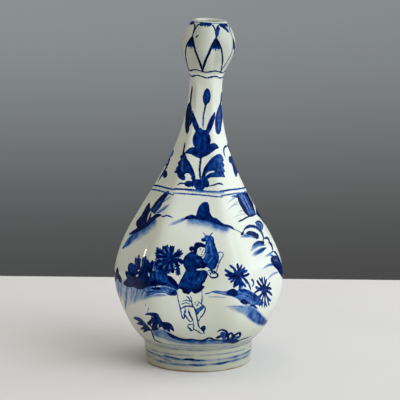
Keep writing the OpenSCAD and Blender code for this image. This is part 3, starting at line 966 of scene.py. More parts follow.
def figure_legs(skin):
    """Rolled trousers, bare legs and feet, in thin lines with two small washes."""
    skin.brush([(-14.2, 59), (-13.4, 53), (-12, 46.5), (-11, 41), (-10, 36.5), (-9, 35), (-8.2, 36.5),
                (-8.6, 39.5), (-7.6, 43)], 0.9, 0.85)
    skin.brush([(-8.4, 40), (-7, 37), (-5, 33.8), (-3.4, 32.5), (-1.5, 33)], 0.9, 0.88)
    skin.brush([(-5, 43.5), (-4.2, 39.5), (-2.6, 36), (-1, 33)], 1.4, 0.92)
    skin.brush([(-3.2, 56), (-2.2, 51), (-1.4, 46.5), (0.4, 43.5), (1.6, 38.5), (2.6, 33), (3, 29.5),
                (4, 26.5), (5.5, 25)], 1.1, 0.9)
    skin.brush([(-11, 43.5), (-8, 45.6), (-4, 46), (-1.3, 45.2)], 1.2, 0.88)
    skin.brush([(-10.5, 47.5), (-7, 49), (-3, 47.5)], 0.8, 0.75)
    skin.brush([(-10, 50), (-6.5, 51), (-2.6, 49.5)], 0.7, 0.7)
    skin.brush([(-6.5, 54.5), (-4.5, 53), (-3, 50)], 1.0, 0.82)
    skin.brush([(-8.5, 45.5), (-7, 42), (-8.5, 38)], 0.7, 0.7)
    skin.brush([(6.2, 58.5), (6.6, 53), (6, 48), (8.3, 45.5), (8.8, 43), (7.5, 39.5), (5, 36),
                (3.5, 32.5)], 1.0, 0.88)
    skin.fill([(1.4, 43), (4, 45), (7, 46.8), (7.6, 44.5), (4.2, 40.8), (2.2, 38.6)], 0.5)
    for route in (
            [(0.6, 47), (0.9, 50)], [(2, 47), (4.3, 50)], [(2.5, 51), (5, 48.3)],
            [(1.2, 45.8), (3.8, 47.4)]):
        skin.brush(route, 0.6, 0.7)
    skin.brush([(-1, 33), (-0.8, 28.5), (-0.6, 25.2), (2, 23.6), (5, 21.2), (7.2, 20.6)], 0.9, 0.88)
    skin.brush([(-6, 28), (-3.8, 29.8), (-1, 29)], 0.8, 0.82)
    skin.brush([(-6, 27.5), (-3.6, 25.4), (-2.8, 23.8), (-1, 24.4)], 1.5, 0.88)
    skin.fill([(5, 25.5), (5.8, 28), (8.4, 28.3), (8.7, 25.5), (7.6, 23), (8, 21), (6.5, 22.5)], 0.75)


try_out(shouldered_load, coat, hands, figure_head, figure_legs)

# %% [markdown]
# The right bank runs down to the water in one long wash that darkens towards its end. Two palms stand
# on it, each made of two turns of fronds, the upper ones dark and the lower ones paler.

# %% Right bank
def right_washes(skin):
    """The slope below the bank: a wash that darkens downwards, and wet strokes along it."""
    skin.fill([(36, 45.4), (43, 45), (52, 42), (60, 36), (68, 29), (80, 18), (72, 18), (63, 21), (55, 25.5),
               (47, 32), (40, 37.5), (33, 41.5),
               (28, 44.4)], 0.28, 0.85, toward=(1, -0.8), pool=0.0, soft=4)
    skin.drag([(24, 46), (33, 45.4), (42, 43.4)], 3.4, (0.08, 0.6))
    skin.drag([(40, 43.6), (50, 40.6), (59, 34), (67.5, 26.5), (78, 18.4)], 7, (0.3, 0.8), soft=1.0)
    skin.drag([(32, 43.4), (42, 39.6), (52, 32)], 3, (0.06, 0.4), soft=1.0)
    skin.drag([(10, 54), (18, 54), (26, 53.4)], 1.4, (0.1, 0.3))
    skin.brush([(8.3, 56.4), (11, 56.8), (14, 58), (17.5, 59)], 0.9, 0.6)


def right_rocks(skin):
    """The low bank with three dark stones and short strokes between them."""
    skin.fill([(14, 57.8), (18, 59.2), (24, 58.6), (28, 60), (31, 60.6), (33, 59), (38, 60), (44, 58),
               (50, 55), (56, 52), (62, 48), (70, 42), (66, 40), (58, 42), (50, 43.8), (44, 46), (38, 47.5),
               (35, 51), (30, 54), (22, 56)], 0.36, 0.54, toward=(1, -0.6))
    skin.fill([(25.5, 57), (28, 60), (31, 60.4), (33.2, 58.5), (34, 55.2), (30, 54.4), (27, 55.6)], 0.88)
    skin.fill([(36, 49.5), (38.5, 51), (42, 49.5), (44.8, 47), (43, 45.4), (39, 47)], 0.88)
    skin.fill([(52, 52), (55, 52.4), (58, 49), (56, 45), (53, 48)], 0.86)
    skin.brush([(35, 56), (41, 53.5), (48, 51), (54, 46)], 1.2, 0.75)
    skin.brush([(36, 58.6), (42, 57.4), (49, 54.4)], 2.0, 0.74)
    for route in (
            [(37, 55), (43, 52.2)], [(45, 49.4), (52, 44.6)], [(48, 47), (54, 43.6)],
            [(20, 57.8), (25, 56.8)]):
        skin.brush(route, 0.9, 0.28)
    skin.brush([(44, 55.5), (50, 52.5), (54, 50)], 1.2, 0.8)
    skin.brush([(48, 43.5), (53, 42.5), (60, 38)], 2.2, 0.75)


def right_palms(skin):
    """Two palms, each with two turns of fronds, and the trunk of the first."""
    heart = (34.5, 70.5)
    palm(skin, heart, [(24.4, 75.2), (28, 78.8), (30.5, 77), (28.6, 65.8), (33, 63), (27, 68), (37.6, 78),
                       (38, 61)], 2.1, 0.8)
    palm(skin, heart, [(25, 71.4), (33.6, 79.4), (40.8, 75.6), (31, 62), (35.6, 60), (41.4, 61), (43.4, 73),
                       (46, 70)], 2.4, 0.84)
    skin.brush([(37, 69.5), (42, 66), (45.5, 62), (48, 57.6)], 1.7, (0.7, 0.8), ends=(0.8, 0.8))
    skin.brush([(38, 68.5), (41, 65.5), (43.5, 62.5)], 1.0, 0.7)
    skin.brush([(49.4, 65), (51.6, 63.6), (52, 61), (49.6, 59.4)], 1.7, (0.85, 0.6), ends=(0.7, 0.4))
    skin.fill([(65.5, 56.5), (69.5, 57.5), (74, 55), (74.5, 51), (71.5, 48.5), (67, 49.5),
               (64.5, 52.5)], 0.66)
    palm(skin, (70, 54), [(57.5, 62.8), (61.4, 64), (65.4, 64), (69.4, 63.4), (73, 61), (78.4, 57.4),
                          (81, 52), (54, 53.6), (55.4, 58)], 2.3, 0.86)
    palm(skin, (70, 52.6), [(82.6, 46.4), (81.6, 41), (78.8, 37.4), (75.2, 37), (71.4, 37.4), (67.4, 38.4),
                            (63.4, 40.2), (59.8, 43.8), (56.6, 48.6)], 2.2, 0.78)


try_out(right_washes, right_rocks, right_palms)

# %% [markdown]
# The nearest ground is a low mound at the bottom of the body, with a plant at each end. The leaves of
# the left plant are pointed, so they follow a sine over their length and not the taper of a stroke.

# %% Near ground
def near_ground(skin):
    """A low mound: a soft wash, a shadow under its top, and a wavering dark line."""
    skin.fill([(-34.5, 21), (-25, 23.4), (-15, 17), (-3, 14), (8, 14), (20, 13), (30, 11), (28, 8),
               (14, 8.6), (-2, 8.6), (-13.5, 9.4), (-24, 12.8), (-35, 15.8)], 0.36, pool=0.0, soft=3.5)
    skin.drag([(-36, 19), (-28, 20), (-20, 17), (-10, 12.5)], 8, (0.38, 0.5), soft=1.0)
    skin.shade([(-24, 22), (-15, 17), (-6, 14.3), (5, 13.5), (15, 14), (24, 13), (34, 11)], 7, 0.6)
    skin.brush([(-25, 22.5), (-20, 20), (-15, 17), (-11, 14.9), (-6, 14.3), (-2, 14.7), (2, 13.7),
                (6, 13.5), (8.5, 14.8), (11, 16.2), (13.5, 15.4), (16, 13.6), (20, 13.3),
                (25, 13.2)], 1.9, 0.86)
    skin.brush([(-22, 20), (-16, 15.5), (-9, 12.8)], 2.6, 0.72)


def left_plant(skin):
    """Drooping pointed leaves round a dark heart, on a bent stem."""
    for tip, width, bend in (((-64, 27), 4.4, -0.12), ((-58, 22.4), 3.4, -0.12), ((-52, 17.6), 3.2, -0.12),
                             ((-48, 15.4), 2.6, -0.1)):
        skin.leaf((-36, 20.5), tip, width, 0.8, bend=bend)
    skin.leaf((-38, 22), (-54, 26.8), 3.0, 0.72, bend=-0.1)
    skin.fill([(-43, 35.5), (-38.5, 38), (-33, 39.4), (-29, 38.8), (-27.6, 36), (-26, 32.6), (-25, 29),
               (-26, 26), (-28, 25), (-30, 22), (-35, 20.5), (-36.5, 24), (-40.5, 26), (-40.5, 28),
               (-35.5, 32.6), (-35.5, 36), (-40, 35.2)], 0.66, 0.86)
    for base, tip, width, bend in (((-28, 31), (-16.4, 22.4), 3.2, 0.2), ((-27, 30), (-19.6, 21.6), 3, 0.1),
                                   ((-26.4, 29), (-23.2, 23), 2.6, 0.08)):
        skin.leaf(base, tip, width, 0.84, bend=bend)
    for route in (
            [(-38, 36.8), (-31.5, 36.6), (-30.5, 30), (-32.5, 23)], [(-34.5, 32), (-38, 28.4), (-40, 26.4)],
            [(-32, 30), (-34.5, 25), (-36, 20)]):
        skin.brush(route, 1.6, 1.0)
    for route, width in (
            ([(-34.4, 29), (-36.2, 24.8)], 0.8), ([(-28.8, 28.6), (-29.4, 24.4)], 0.8),
            ([(-36, 35.4), (-33, 35)], 0.5)):
        skin.spare(route, width)
    skin.brush([(-36.6, 20), (-35.2, 13.5), (-33.8, 9.2), (-27.6, 6.6)], 1.5, 0.95, ends=(0.9, 0.6))
    skin.brush([(-41.5, 43), (-40, 46.5)], 0.6, 0.4)
    skin.brush([(-39, 38.2), (-37, 43)], 0.7, 0.6)


def right_plant(skin):
    """Curled leaves close to the ground, with a pale stroke running off to the right."""
    skin.brush([(34, 9), (42, 10.2), (51, 10.6)], 1.6, (0.7, 0.35), ends=(0.8, 0.1))
    skin.brush([(17.5, 22), (20.5, 24.2), (23.8, 23.2), (25, 20.8), (24, 17.5), (23.2, 13.5)], 1.9, 0.86)
    skin.fill([(15.8, 16), (19, 18.6), (22.3, 20.2), (21.5, 17.4), (18, 15.2)], 0.8)
    skin.fill([(20, 21.6), (24, 21), (24, 14), (30, 16), (36, 15), (36, 12), (24, 12),
               (21, 15)], 0.5, pool=0.0)
    skin.brush([(25.8, 13), (26, 18), (28.4, 20), (30, 17.5), (29.6, 12.5),
                (31, 9)], 2.2, 0.84, ends=(0.8, 0.7))
    skin.brush([(30.8, 14), (32.5, 17.6), (36.6, 18.8), (36.8, 14.8), (33.6, 14)], 2.4, 0.84)
    skin.fill([(22, 13), (27, 12.6), (33, 12), (37, 9), (34, 7), (30, 6.4), (26, 8.5),
               (22, 10)], 0.66, 0.82)


try_out(near_ground, left_plant, right_plant)

# %% [markdown]
# The back of the vase can't be seen in the photograph, so what stands there is a guess: the same
# landscape once more, and reeds in the open water in its middle.

# %% Reeds on the back
def reeds(skin):
    """A clump of pointed blades on a small island, with ripples beside it."""
    skin.drag([(-6, 60), (8, 58.4), (24, 59)], 4, (0.1, 0.5))
    skin.fill([(0, 59.6), (3, 63), (7, 64.4), (12, 63), (17, 60), (12, 58.4), (5, 58.2)], 0.6, 0.8)
    for tip, bend in (
            ((-6, 80), 0.12), ((-1, 86), 0.08), ((7, 90), -0.04), ((13, 84), -0.1), ((19, 78), -0.14),
            ((23, 70), -0.16)):
        skin.leaf((8, 62.5), tip, 2.4, 0.84, bend=bend)
    skin.drag([(2, 54.6), (12, 53.6), (22, 54.2)], 1.6, (0.1, 0.36))


try_out(reeds)

# %% [markdown]
# With all the forms at hand, the body is painted in the order in which the ink has to lie: what is far
# away first, what is near last. The front has the figure and the back the reeds, and a smaller mound
# closes the gap on each side.

# %% Paint the body
SIDE_MOUNDS = (-112, 112)


def landscape(skin):
    """All the forms of the scene, from the distant hill to the nearest plants."""
    far = (distant_hill, left_cliff, right_cliff, cloud_scrolls)
    left = (bank_washes, bank_ridge, bank_rock, bush, shore_plant, leafy_palm)
    right = (right_washes, right_rocks, right_palms)
    for form in (*far, *left, *right, near_ground, left_plant, right_plant):
        form(skin)


skin.face(0)
landscape(skin)
for form in (shouldered_load, coat, hands, figure_head, figure_legs):
    form(skin)
skin.face(180)
landscape(skin)
reeds(skin)
for side in SIDE_MOUNDS:
    skin.face(side, lift=3, size=0.7)
    near_ground(skin)
print(f"crisp ink on {np.sum(skin.cover > 0)} points, washes on {np.sum(skin.wash > INKED_WASH)}")

# %% [markdown]
# ## The neck, the shoulder lines and the garlic head
# Three flower sprays climb the neck, with hanging bells of leaves between them. A spray has a bud on a
# thin stem, a blossom, two broad leaves and a rosette at its root. Its parts are small functions, so
# turning the vase and painting again gives the next spray. The edge of each leaf is lobed, and needs
# more points than a stroke.

# %% Neck sprays
def bud(skin):
    """A bud with a pale vein, on a stem that thins out downwards."""
    skin.fill([(1.2, 211.5), (-0.6, 214), (-1.3, 218), (-0.4, 222.5), (2.2, 225.3), (4.3, 222.5), (5, 218),
               (4, 214)], 0.78)
    skin.brush([(2.4, 222), (3, 218), (2.6, 214.5)], 1.2, 0.62)
    skin.brush([(1.8, 213), (1, 209), (0.4, 204), (0.2, 199),
                (0.6, 193)], 1.3, (0.85, 0.5), ends=(1.0, 0.5))


def narrow_leaves(skin):
    """Two narrow leaves beside the stem, the right one with a dark rib."""
    skin.fill([(-9.9, 206.8), (-7.1, 203.2), (-4.8, 198.2), (-2.5, 193.4), (-3, 190.6), (-5.4, 190.6),
               (-7.8, 195), (-9.2, 199.8)], 0.8)
    skin.fill([(9.6, 206.6), (6.5, 203), (4.8, 198.9), (3.6, 193.7), (2.6, 190.2), (5.4, 189.2),
               (7.6, 193.9), (9.4, 198.9), (10.6, 203)], 0.72)
    skin.brush([(8.6, 204), (6.8, 199), (5, 192)], 0.8, 0.9)


def blossom(skin):
    """The open blossom with its curled lower petals, its veins and its stem."""
    skin.fill([(0.5, 192), (-2, 193.3), (-4.6, 191), (-6.2, 188), (-7.2, 183), (-6.2, 179), (-5, 177.4),
               (-7, 177.2), (-9.8, 175.6), (-13, 171.8), (-9, 171.6), (-5, 170), (-2, 168.8), (0.5, 168.6),
               (3, 169.8), (6, 171.4), (9, 174), (12, 176.4), (15.8, 177.4), (12.5, 180.6), (9, 181.6),
               (7.3, 180.6), (7.4, 184), (6.6, 187), (5, 190), (3, 191.6)], 0.72, 0.78, pool=0.14)
    skin.brush([(-4.5, 189), (-5.5, 184), (-4, 179)], 1.2, 0.86)
    skin.brush([(0.8, 190), (0.4, 183), (0.6, 172)], 1.0, 0.86)
    skin.brush([(5, 188), (5.6, 183), (4, 177)], 1.0, 0.84)
    skin.brush([(-11, 172.5), (-6, 172.5), (0, 170.5), (6, 173), (13, 177.8)], 1.4, 0.86)
    skin.brush([(0.6, 169.5), (0.3, 165), (0.2, 160), (0.7, 155), (1.2, 151)], 1.7, 0.88, ends=(1.0, 0.4))


def left_leaf(skin):
    """The broad left leaf, lobed on its outside, with a dark upright tip."""
    skin.fill([(-3, 150.5), (-3.6, 155), (-6, 160), (-9, 165), (-11, 168.6), (-12.6, 172.2), (-15, 171),
               (-18.6, 168), (-16.8, 166), (-20.3, 162.8), (-19, 160.5), (-22, 158.2), (-21, 156.8),
               (-23.4, 154.4), (-19, 154.2), (-17, 151.8), (-14, 149.8), (-11.6, 149.4), (-10.8, 151),
               (-11.4, 154.5), (-8.6, 155.4), (-6.4, 153), (-6.2, 150.4)], 0.74, 0.8)
    skin.brush([(-14.5, 179.8), (-14.8, 174), (-14.3, 168.6)], 2.4, 0.95, ends=(0.5, 0.9))
    skin.brush([(-13.5, 168), (-14.5, 162), (-13, 156)], 2.2, 0.5)
    skin.brush([(-17.5, 163), (-16, 158), (-14, 152)], 1.2, 0.86)
    skin.brush([(-4, 155), (-7.5, 161.5), (-11, 167.5)], 1.8, 0.88)


def right_leaf(skin):
    """The broad right leaf, paler towards its lobed outside, with a bare fold."""
    skin.fill([(2, 150.5), (2.5, 155), (4, 160), (6, 164.5), (9, 169), (12, 171.6), (15, 172.4), (18, 172),
               (20.6, 170.4), (22.6, 167), (21.4, 165.2), (23.3, 162.8), (21.6, 160.8), (23.5, 158),
               (21.8, 156.2), (23.4, 152.8), (18, 153.4), (13, 153.2), (9, 152.8), (6.5, 150.6),
               (4, 150)], 0.74, 0.55, toward=(1, 0.3))
    skin.brush([(3, 153), (5, 160.5), (9, 167), (13, 170.5)], 2.2, 0.86)
    skin.brush([(12, 155), (13.5, 161), (13, 167)], 1.0, 0.78)
    skin.brush([(22, 154.5), (18.5, 158.5), (17, 164)], 1.4, 0.8)
    skin.brush([(22, 161.5), (18.5, 165.5)], 1.2, 0.78)
    skin.spare([(5.4, 154), (7.4, 156.6), (10.6, 158), (12.4, 157.8)], 1.5)


def rosette(skin):
    """The rosette at the root: a lobed patch with short ribs, and a tendril on each side."""
    skin.fill([(-11.6, 146.4), (-9.6, 149), (-6.6, 149), (-4, 150.6), (2, 151), (7, 151), (8.6, 148.4),
               (9, 146.4), (7.6, 144.4), (5.4, 144.2), (4.6, 142.6), (2.6, 141.8), (0, 142), (-2, 143),
               (-4, 145), (-6.4, 144.2), (-9, 144)], 0.72)
    for u in (-9, -5.5, -1.5, 1.5, 4.5, 7.5):
        skin.brush([(u * 0.8, 149.5), (u, 146.5), (u * 0.8, 143.6)], 0.9, 0.9)
    skin.brush([(-11, 146.4), (-14, 146.8), (-16.6, 145)], 1.2, 0.85)
    skin.brush([(8.6, 145.4), (12, 146.6), (15.5, 148.1), (18, 147.8), (20.3, 146.6)], 1.3, 0.87)


SPRAY_TURNS = (0, 127, 229)
SPRAY_FORMS = (bud, narrow_leaves, blossom, left_leaf, right_leaf, rosette)
try_out(*SPRAY_FORMS)

# %% [markdown]
# The bells hang at the edges of the front panel, and one more hangs further round. Each is a stem and a
# drop of leaves. A curl and two leaves at the edges of the front fill what the sprays leave open.

# %% Hanging bells
def left_bell(skin):
    """A stem and a dark drop with one pale vein."""
    skin.brush([(-13, 225.4), (-14.3, 218.4), (-14.6, 210)], 2.7, 0.95, ends=(0.5, 1.0))
    skin.fill([(-19, 210.2), (-21, 204.3), (-20.4, 198.5), (-19.6, 193.5), (-16.7, 189), (-13.3, 187),
               (-11.4, 190.5), (-11, 194), (-9.4, 195.6), (-8.9, 198), (-9.4, 202), (-10.4, 206),
               (-12.4, 210), (-15, 212.6)], 0.9, 0.95)
    skin.brush([(-12, 205), (-11.4, 200), (-11.6, 196)], 1.0, 0.7)


def right_bell(skin):
    """A stem and a paler drop with two dark veins and a light one."""
    skin.brush([(19, 222), (18.8, 216.5), (17.8, 211)], 2.3, 0.84, ends=(0.4, 1.0))
    skin.fill([(16.4, 212), (12.4, 206), (10.4, 201), (10.6, 196), (11.4, 191), (14.8, 188.2), (19, 190),
               (20.6, 195.3), (21.8, 200.3), (22.2, 206.3), (20.4, 211)], 0.62, 0.72)
    skin.brush([(19.6, 208), (20, 199), (17.6, 191)], 1.4, 0.9)
    skin.brush([(14, 206.5), (12.8, 199), (13, 191)], 1.3, 0.9)
    skin.brush([(16.8, 207), (16.4, 199), (15.4, 191)], 0.8, 0.4)


def side_leaves(skin):
    """At the edges of the front: a curl and a leaf on the right, a stroke and a leaf on the left."""
    skin.brush([(24.8, 169.4), (23.2, 174.6), (25.4, 177.5), (29.2, 177.8)], 2.2, 0.7)
    skin.fill([(30.6, 168.8), (34.7, 168.6), (39.8, 164.4), (41.4, 159), (42.4, 153.7), (40.6, 151.4),
               (37.9, 154), (36.4, 158.2), (34.6, 162.4), (31, 164.8)], 0.74)
    skin.brush([(-35.4, 166.4), (-37.7, 158.3), (-43, 150.5), (-48, 143.4)], 2.3, 0.9)
    skin.fill([(-41, 152.8), (-38, 153.6), (-35.2, 152.4), (-34.4, 149.6), (-38.5, 147.4),
               (-42, 149)], 0.86)


FAR_BELL = 120
for degrees in SPRAY_TURNS:
    skin.face(degrees)
    for form in SPRAY_FORMS:
        form(skin)
skin.face(0)
for form in (side_leaves, left_bell, right_bell):
    form(skin)
skin.face(FAR_BELL)
right_bell(skin)
try_out(side_leaves, left_bell, right_bell)

# %% [markdown]
# Two lines close the body off at the shoulder and two more stand under the head. The shoulder lines
# were drawn panel by panel, so each panel has its own pair of strokes, which miss each other a little
# at the corners. Under the head the vase turns under the brush, so those lines are rings that wander
# and run dry. At the left edge the shoulder lines dip to the corner.

# %% Lines at the shoulder and under the head
PANEL_DEGREES = 360 // SIDES
CORNER_DIP = 3.2
LEFT_DIP_PANEL = 5
RIGHT_DIP_PANEL = 4
TO_LEFT = np.array((1, 0.6, 0.3, 0))
COLLAR_LINES = ((239.0, 0.6, 0.25), (234.3, 0.3, 0.3))


def shoulder_lines(skin, upper, lower, left_dip=0.0, right_dip=0.0):
    """Two lines across a panel, each with its own tones; either end may dip."""
    dips = left_dip * TO_LEFT + right_dip * TO_LEFT[::-1]
    for route, width, tone in (([(-19, 141.6), (-8, 141.8), (4, 141.2), (18.5, 140.9)], 1.5, upper),
                               ([(-19.5, 138), (-8, 138), (6, 137.6), (19.5, 136.6)], 1.2, lower)):
        skin.brush([(u, v - dip) for (u, v), dip in zip(route, dips)], width, tone, ends=(0.7, 0.7))


skin.face(0)
skin.fill([(-10, 141.8), (4, 141.8), (20, 141.6), (20, 139.6), (4, 139.6),
           (-8, 140.4)], 0.3, pool=0.0, soft=1.2)
shoulder_lines(skin, (0.8, 0.42), (0.45, 0.66))
for panel in range(1, SIDES):
    skin.face(PANEL_DEGREES * panel)
    dips = (CORNER_DIP * (panel == LEFT_DIP_PANEL), CORNER_DIP * (panel == RIGHT_DIP_PANEL))
    shoulder_lines(skin, (0.72, 0.62), (0.62, 0.5), *dips)
for up, start, breaks in COLLAR_LINES:
    skin.ring(up, 1.1, 1.05, wander=0.7, waves=6, start=start, breaks=breaks)
print(f"{SIDES} pairs of shoulder lines and {len(COLLAR_LINES)} rings under the head")

# %% [markdown]
# The head is drawn as two rows of lotus petals: the lower ones point up between the lobes and the upper
# ones cover the lobes. A petal has two sides and a dark tip of short strokes. One function draws a
# petal and a loop carries it round. Every second lower petal is mirrored, so that the row doesn't look
# printed. The three loose strokes at the end belong to single petals.

# %% Lotus petals on the garlic head
def lower_petal(skin):
    """A pointed petal: a heavy left side, a thin right one, and a dark tip with strokes that run dry."""
    side = ((7.4, 239.5), (7.4, 244), (7, 248.5), (5.9, 253.5), (4.4, 259), (2.2, 264), (0.3, 267.4))
    skin.brush([(-u, v) for u, v in side], 1.9, 1.1, ends=(0.5, 0.6))
    skin.brush(side, 1.2, 1.1, ends=(0.5, 0.6))
    skin.fill([(0, 268), (-2, 265), (-3.8, 261), (-3.2, 258.6), (-1.6, 259.6), (-0.2, 257.6), (1.2, 259.4),
               (2.6, 258.4), (3.8, 261), (2, 265)], 1.1, 0.6, pool=0.0)
    for u, v in ((-3.6, 258.6), (-1.8, 257.6), (0, 256.6), (1.8, 257.4), (3.2, 258.8)):
        skin.brush([(0, 266.5), (u * 0.8, 262.5), (u, v)], 1.0, (1.2, 0.6), ends=(1.0, 0.1))


def upper_petal(skin):
    """A round petal hanging from the rim, dark at its top."""
    side = ((10.4, 267.6), (9.8, 271), (8.4, 274.8), (6.2, 278), (3.2, 280))
    for flip in (-1, 1):
        skin.brush([(flip * u, v) for u, v in side], 1.1, 1.05)
    skin.fill([(-3.6, HEAD_TOP), (3.8, HEAD_TOP), (4.4, 278), (2.8, 277.2), (1.4, 278), (0, 276.8),
               (-1.6, 277.8), (-3.2, 276.8), (-4.6, 278)], 0.8, 0.6, pool=0.0)
    for u in (-4, -2, 0.2, 2.2, 4):
        skin.brush([(u * 0.8, HEAD_TOP),
                    (u, HEAD_TOP - 5 + 0.1 * u * u)], 1.1, (0.95, 0.55), ends=(1.0, 0.1))


for lobe in range(SIDES):
    skin.face(PANEL_DEGREES * (lobe + 0.5), mirror=lobe % 2 == 1)
    lower_petal(skin)
    skin.face(PANEL_DEGREES * lobe)
    upper_petal(skin)
skin.ring(HEAD_TOP - 0.4, 0.7, 0.7, breaks=0.5)
skin.face(PANEL_DEGREES)
skin.brush([(-9.6, 268.5), (-8.4, 273), (-5.4, 277)], 2.6, (0.5, 0.62))
skin.brush([(-3, 279), (0.4, 275), (2.6, 272.4)], 3.4, (0.85, 0.5), ends=(0.9, 0.2))
skin.face(0)
skin.brush([(-6.4, 266.6), (-5.2, 268), (-4, 269.2)], 1.1, 1.0)
try_out(lower_petal, upper_petal)

# %% [markdown]
# The foot is banded on the wheel: the brush is held still while the vase turns, so the rings wander
# only a little and run dry. They are washes, because the ink has bled under the glaze here. A few wet
# strokes on the front stand for the places where the brush was loaded again.

# %% Rings on the foot
FOOT_RINGS = (
    (6.0, 1.6, 0.24, 0.3, 0.4, 0.6), (3.2, 2.0, 0.2, 0.3, 2.0, 0.6), (0.2, 1.6, 0.3, 0.3, 1.2, 0.6),
    (-4.6, 1.3, 0.25, 0.3, 3.1, 0.6), (-10.5, 5.0, 0.14, 0.3, 0.9, 0.6),
    (-8.4, 1.8, 0.42, 0.5, 1.0, 0.5), (-12.2, 1.9, 0.38, 0.8, 2.4, 0.5),
)
for up, width, tone, wander, start, breaks in FOOT_RINGS:
    skin.ring(up, width, tone, wander=wander, waves=2, start=start, breaks=breaks, wet=True)
skin.face(0)
for route, width, tone in (
        ([(-10, -8.4), (-5, -8), (0, -8.2)], 2.6, (1.0, 1.2)),
        ([(0, -8.4), (4, -8.6), (8, -9)], 1.6, 0.8),
        ([(-27, -6.6), (-20, -7.6), (-13, -8)], 2.0, (0.5, 0.6)),
        ([(-34, -8), (-29, -9)], 2.4, 0.34),
        ([(-27, -10), (-19, -11)], 2.4, 0.36),
        ([(-6, -12.4), (2, -12.8), (9, -12.6)], 2.8, 0.46),
        ([(14, -12.6), (21, -12.2), (28, -11.5)], 2.6, (0.5, 0.9))):
    skin.drag(route, width, tone)
print(f"{len(FOOT_RINGS)} rings on the foot and the joint above it")

# %% [markdown]
# The layers go onto the points of the pieces as attributes, which a shader can read by name. Only the
# outside is painted, so the points inside the wall and under the foot are cleared first.

# %% Store the painting on the pieces
sizes_of = [len(piece.data.vertices) for piece in piece_list]
stops = np.cumsum([0] + sizes_of)
outer = np.concatenate([where[2] == 0 for _, where in sections.values()]
                       + [(radius_round > FOOT_BOTTOM_RADIUS - FOOT_EDGE_ROUND).ravel()])
skin.cover[~outer] = -INK_REACH
skin.wash[~outer] = 0.0
for piece, start, stop in zip(piece_list, stops[:-1], stops[1:]):
    for name, layer in (("cover", skin.cover), ("tone", skin.tone), ("wash", skin.wash)):
        attribute = piece.data.attributes.new(name, "FLOAT", "POINT")
        attribute.data.foreach_set("value", layer[start:stop].astype(np.float32))
print(f"inked share of the skin: {np.mean((skin.cover > 0) | (skin.wash > INKED_WASH)):.2f}")

# %% [markdown]
# ## Glaze and clay
# The fired glaze is clear with a faint grey-green tint, so the cobalt shows through it. A plain image
# of the painting would look printed. Here the shader reads the two layers of ink, makes the edges a
# little ragged, lets the washes run uneven and the strokes heap up dark, and turns the sum into a
# colour on one scale from bare porcelain to the darkest cobalt. A few small helpers keep the node trees
# short.

# %% Node helpers
def colour(red, green, blue):
    """A colour as it is seen on a screen, in 0 to 255, as the linear values that shaders take."""
    return (*(((c / 255 + 0.055) / 1.055) ** 2.4 for c in (red, green, blue)), 1.0)


def feed(tree, socket, value):
    """Link a socket to another node's socket, or set it to a plain value."""
    if isinstance(value, bpy.types.NodeSocket):
        tree.links.new(value, socket)
    else:
        socket.default_value = value


def wire(tree, kind, inputs=None, **settings):
    """Add a node, set its properties, and feed its inputs with plain values or with other nodes' sockets."""
    node = tree.nodes.new(kind)
    for name, value in settings.items():
        setattr(node, name, value)
    for name, value in (inputs or {}).items():
        feed(tree, node.inputs[name], value)
    return node


def calc(tree, operation, a, b):
    """Two values put together by a sum, a product or the like."""
    return wire(tree, "ShaderNodeMath", {0: a, 1: b}, operation=operation).outputs[0]


def spread(tree, value, low, high, to_low=0.0, to_high=1.0):
    """Carry a value from one range to another with eased ends."""
    inputs = {"Value": value, "From Min": low, "From Max": high, "To Min": to_low, "To Max": to_high}
    return wire(tree, "ShaderNodeMapRange", inputs, interpolation_type="SMOOTHSTEP").outputs["Result"]


def mottle(tree, place, per_metre, detail=3.0):
    """Cloudy noise with so many spots to the metre."""
    inputs = {"Vector": place, "Scale": per_metre, "Detail": detail}
    return wire(tree, "ShaderNodeTexNoise", inputs).outputs["Fac"]


def blend(tree, share, a, b, **settings):
    """One colour where the share is 0 and the other where it is 1, or the two put together another way."""
    node = wire(tree, "ShaderNodeMix", {"Factor": share}, data_type="RGBA", **settings)
    feed(tree, node.inputs[6], a)
    feed(tree, node.inputs[7], b)
    return node.outputs[2]


def height_of(tree, place):
    """Height above the table, in metres."""
    return wire(tree, "ShaderNodeSeparateXYZ", {"Vector": place}).outputs["Z"]


def roughen(tree, shader, height, strength, distance):
    """Let a height in 0 to 1 tilt the surface as if it stood so many metres out."""
    inputs = {"Height": height, "Strength": strength, "Distance": distance}
    feed(tree, shader.inputs["Normal"], wire(tree, "ShaderNodeBump", inputs).outputs["Normal"])


def new_material(name):
    """An empty material: itself, its node tree, its shader, and the places on the object it covers."""
    material = bpy.data.materials.new(name)
    material.use_nodes = True
    tree = material.node_tree
    place = wire(tree, "ShaderNodeTexCoord").outputs["Object"]
    return material, tree, tree.nodes["Principled BSDF"], place


print("darkest cobalt in linear light:", tuple(round(c, 4) for c in colour(0, 10, 58)[:3]))

# %% [markdown]
# Cobalt on clay is no single blue. A thin wash fires to a pale grey-blue, a full stroke to a strong
# blue, and ink that lies thick to nearly black. A colour ramp holds that scale. Noise of three sizes
# works on the ink before it is read off: the finest frays the edges of the strokes, a coarser one heaps
# the ink up inside them, and the coarsest lets the washes run.

# %% Cobalt ink
COBALT = ((0.0, (228, 233, 223)), (0.1, (196, 206, 210)), (0.25, (126, 156, 196)), (0.42, (52, 104, 174)),
          (0.6, (10, 64, 144)), (0.78, (2, 34, 102)), (1.0, (0, 10, 58)))
FRAY_PER_METRE = 800
HEAP_PER_METRE = 300
RUN_PER_METRE = 150
FRAY_MM = 0.22
EDGE_MM = 0.25
HEAP_RANGE = (0.82, 1.18)
RUN_RANGE = (0.6, 1.25)


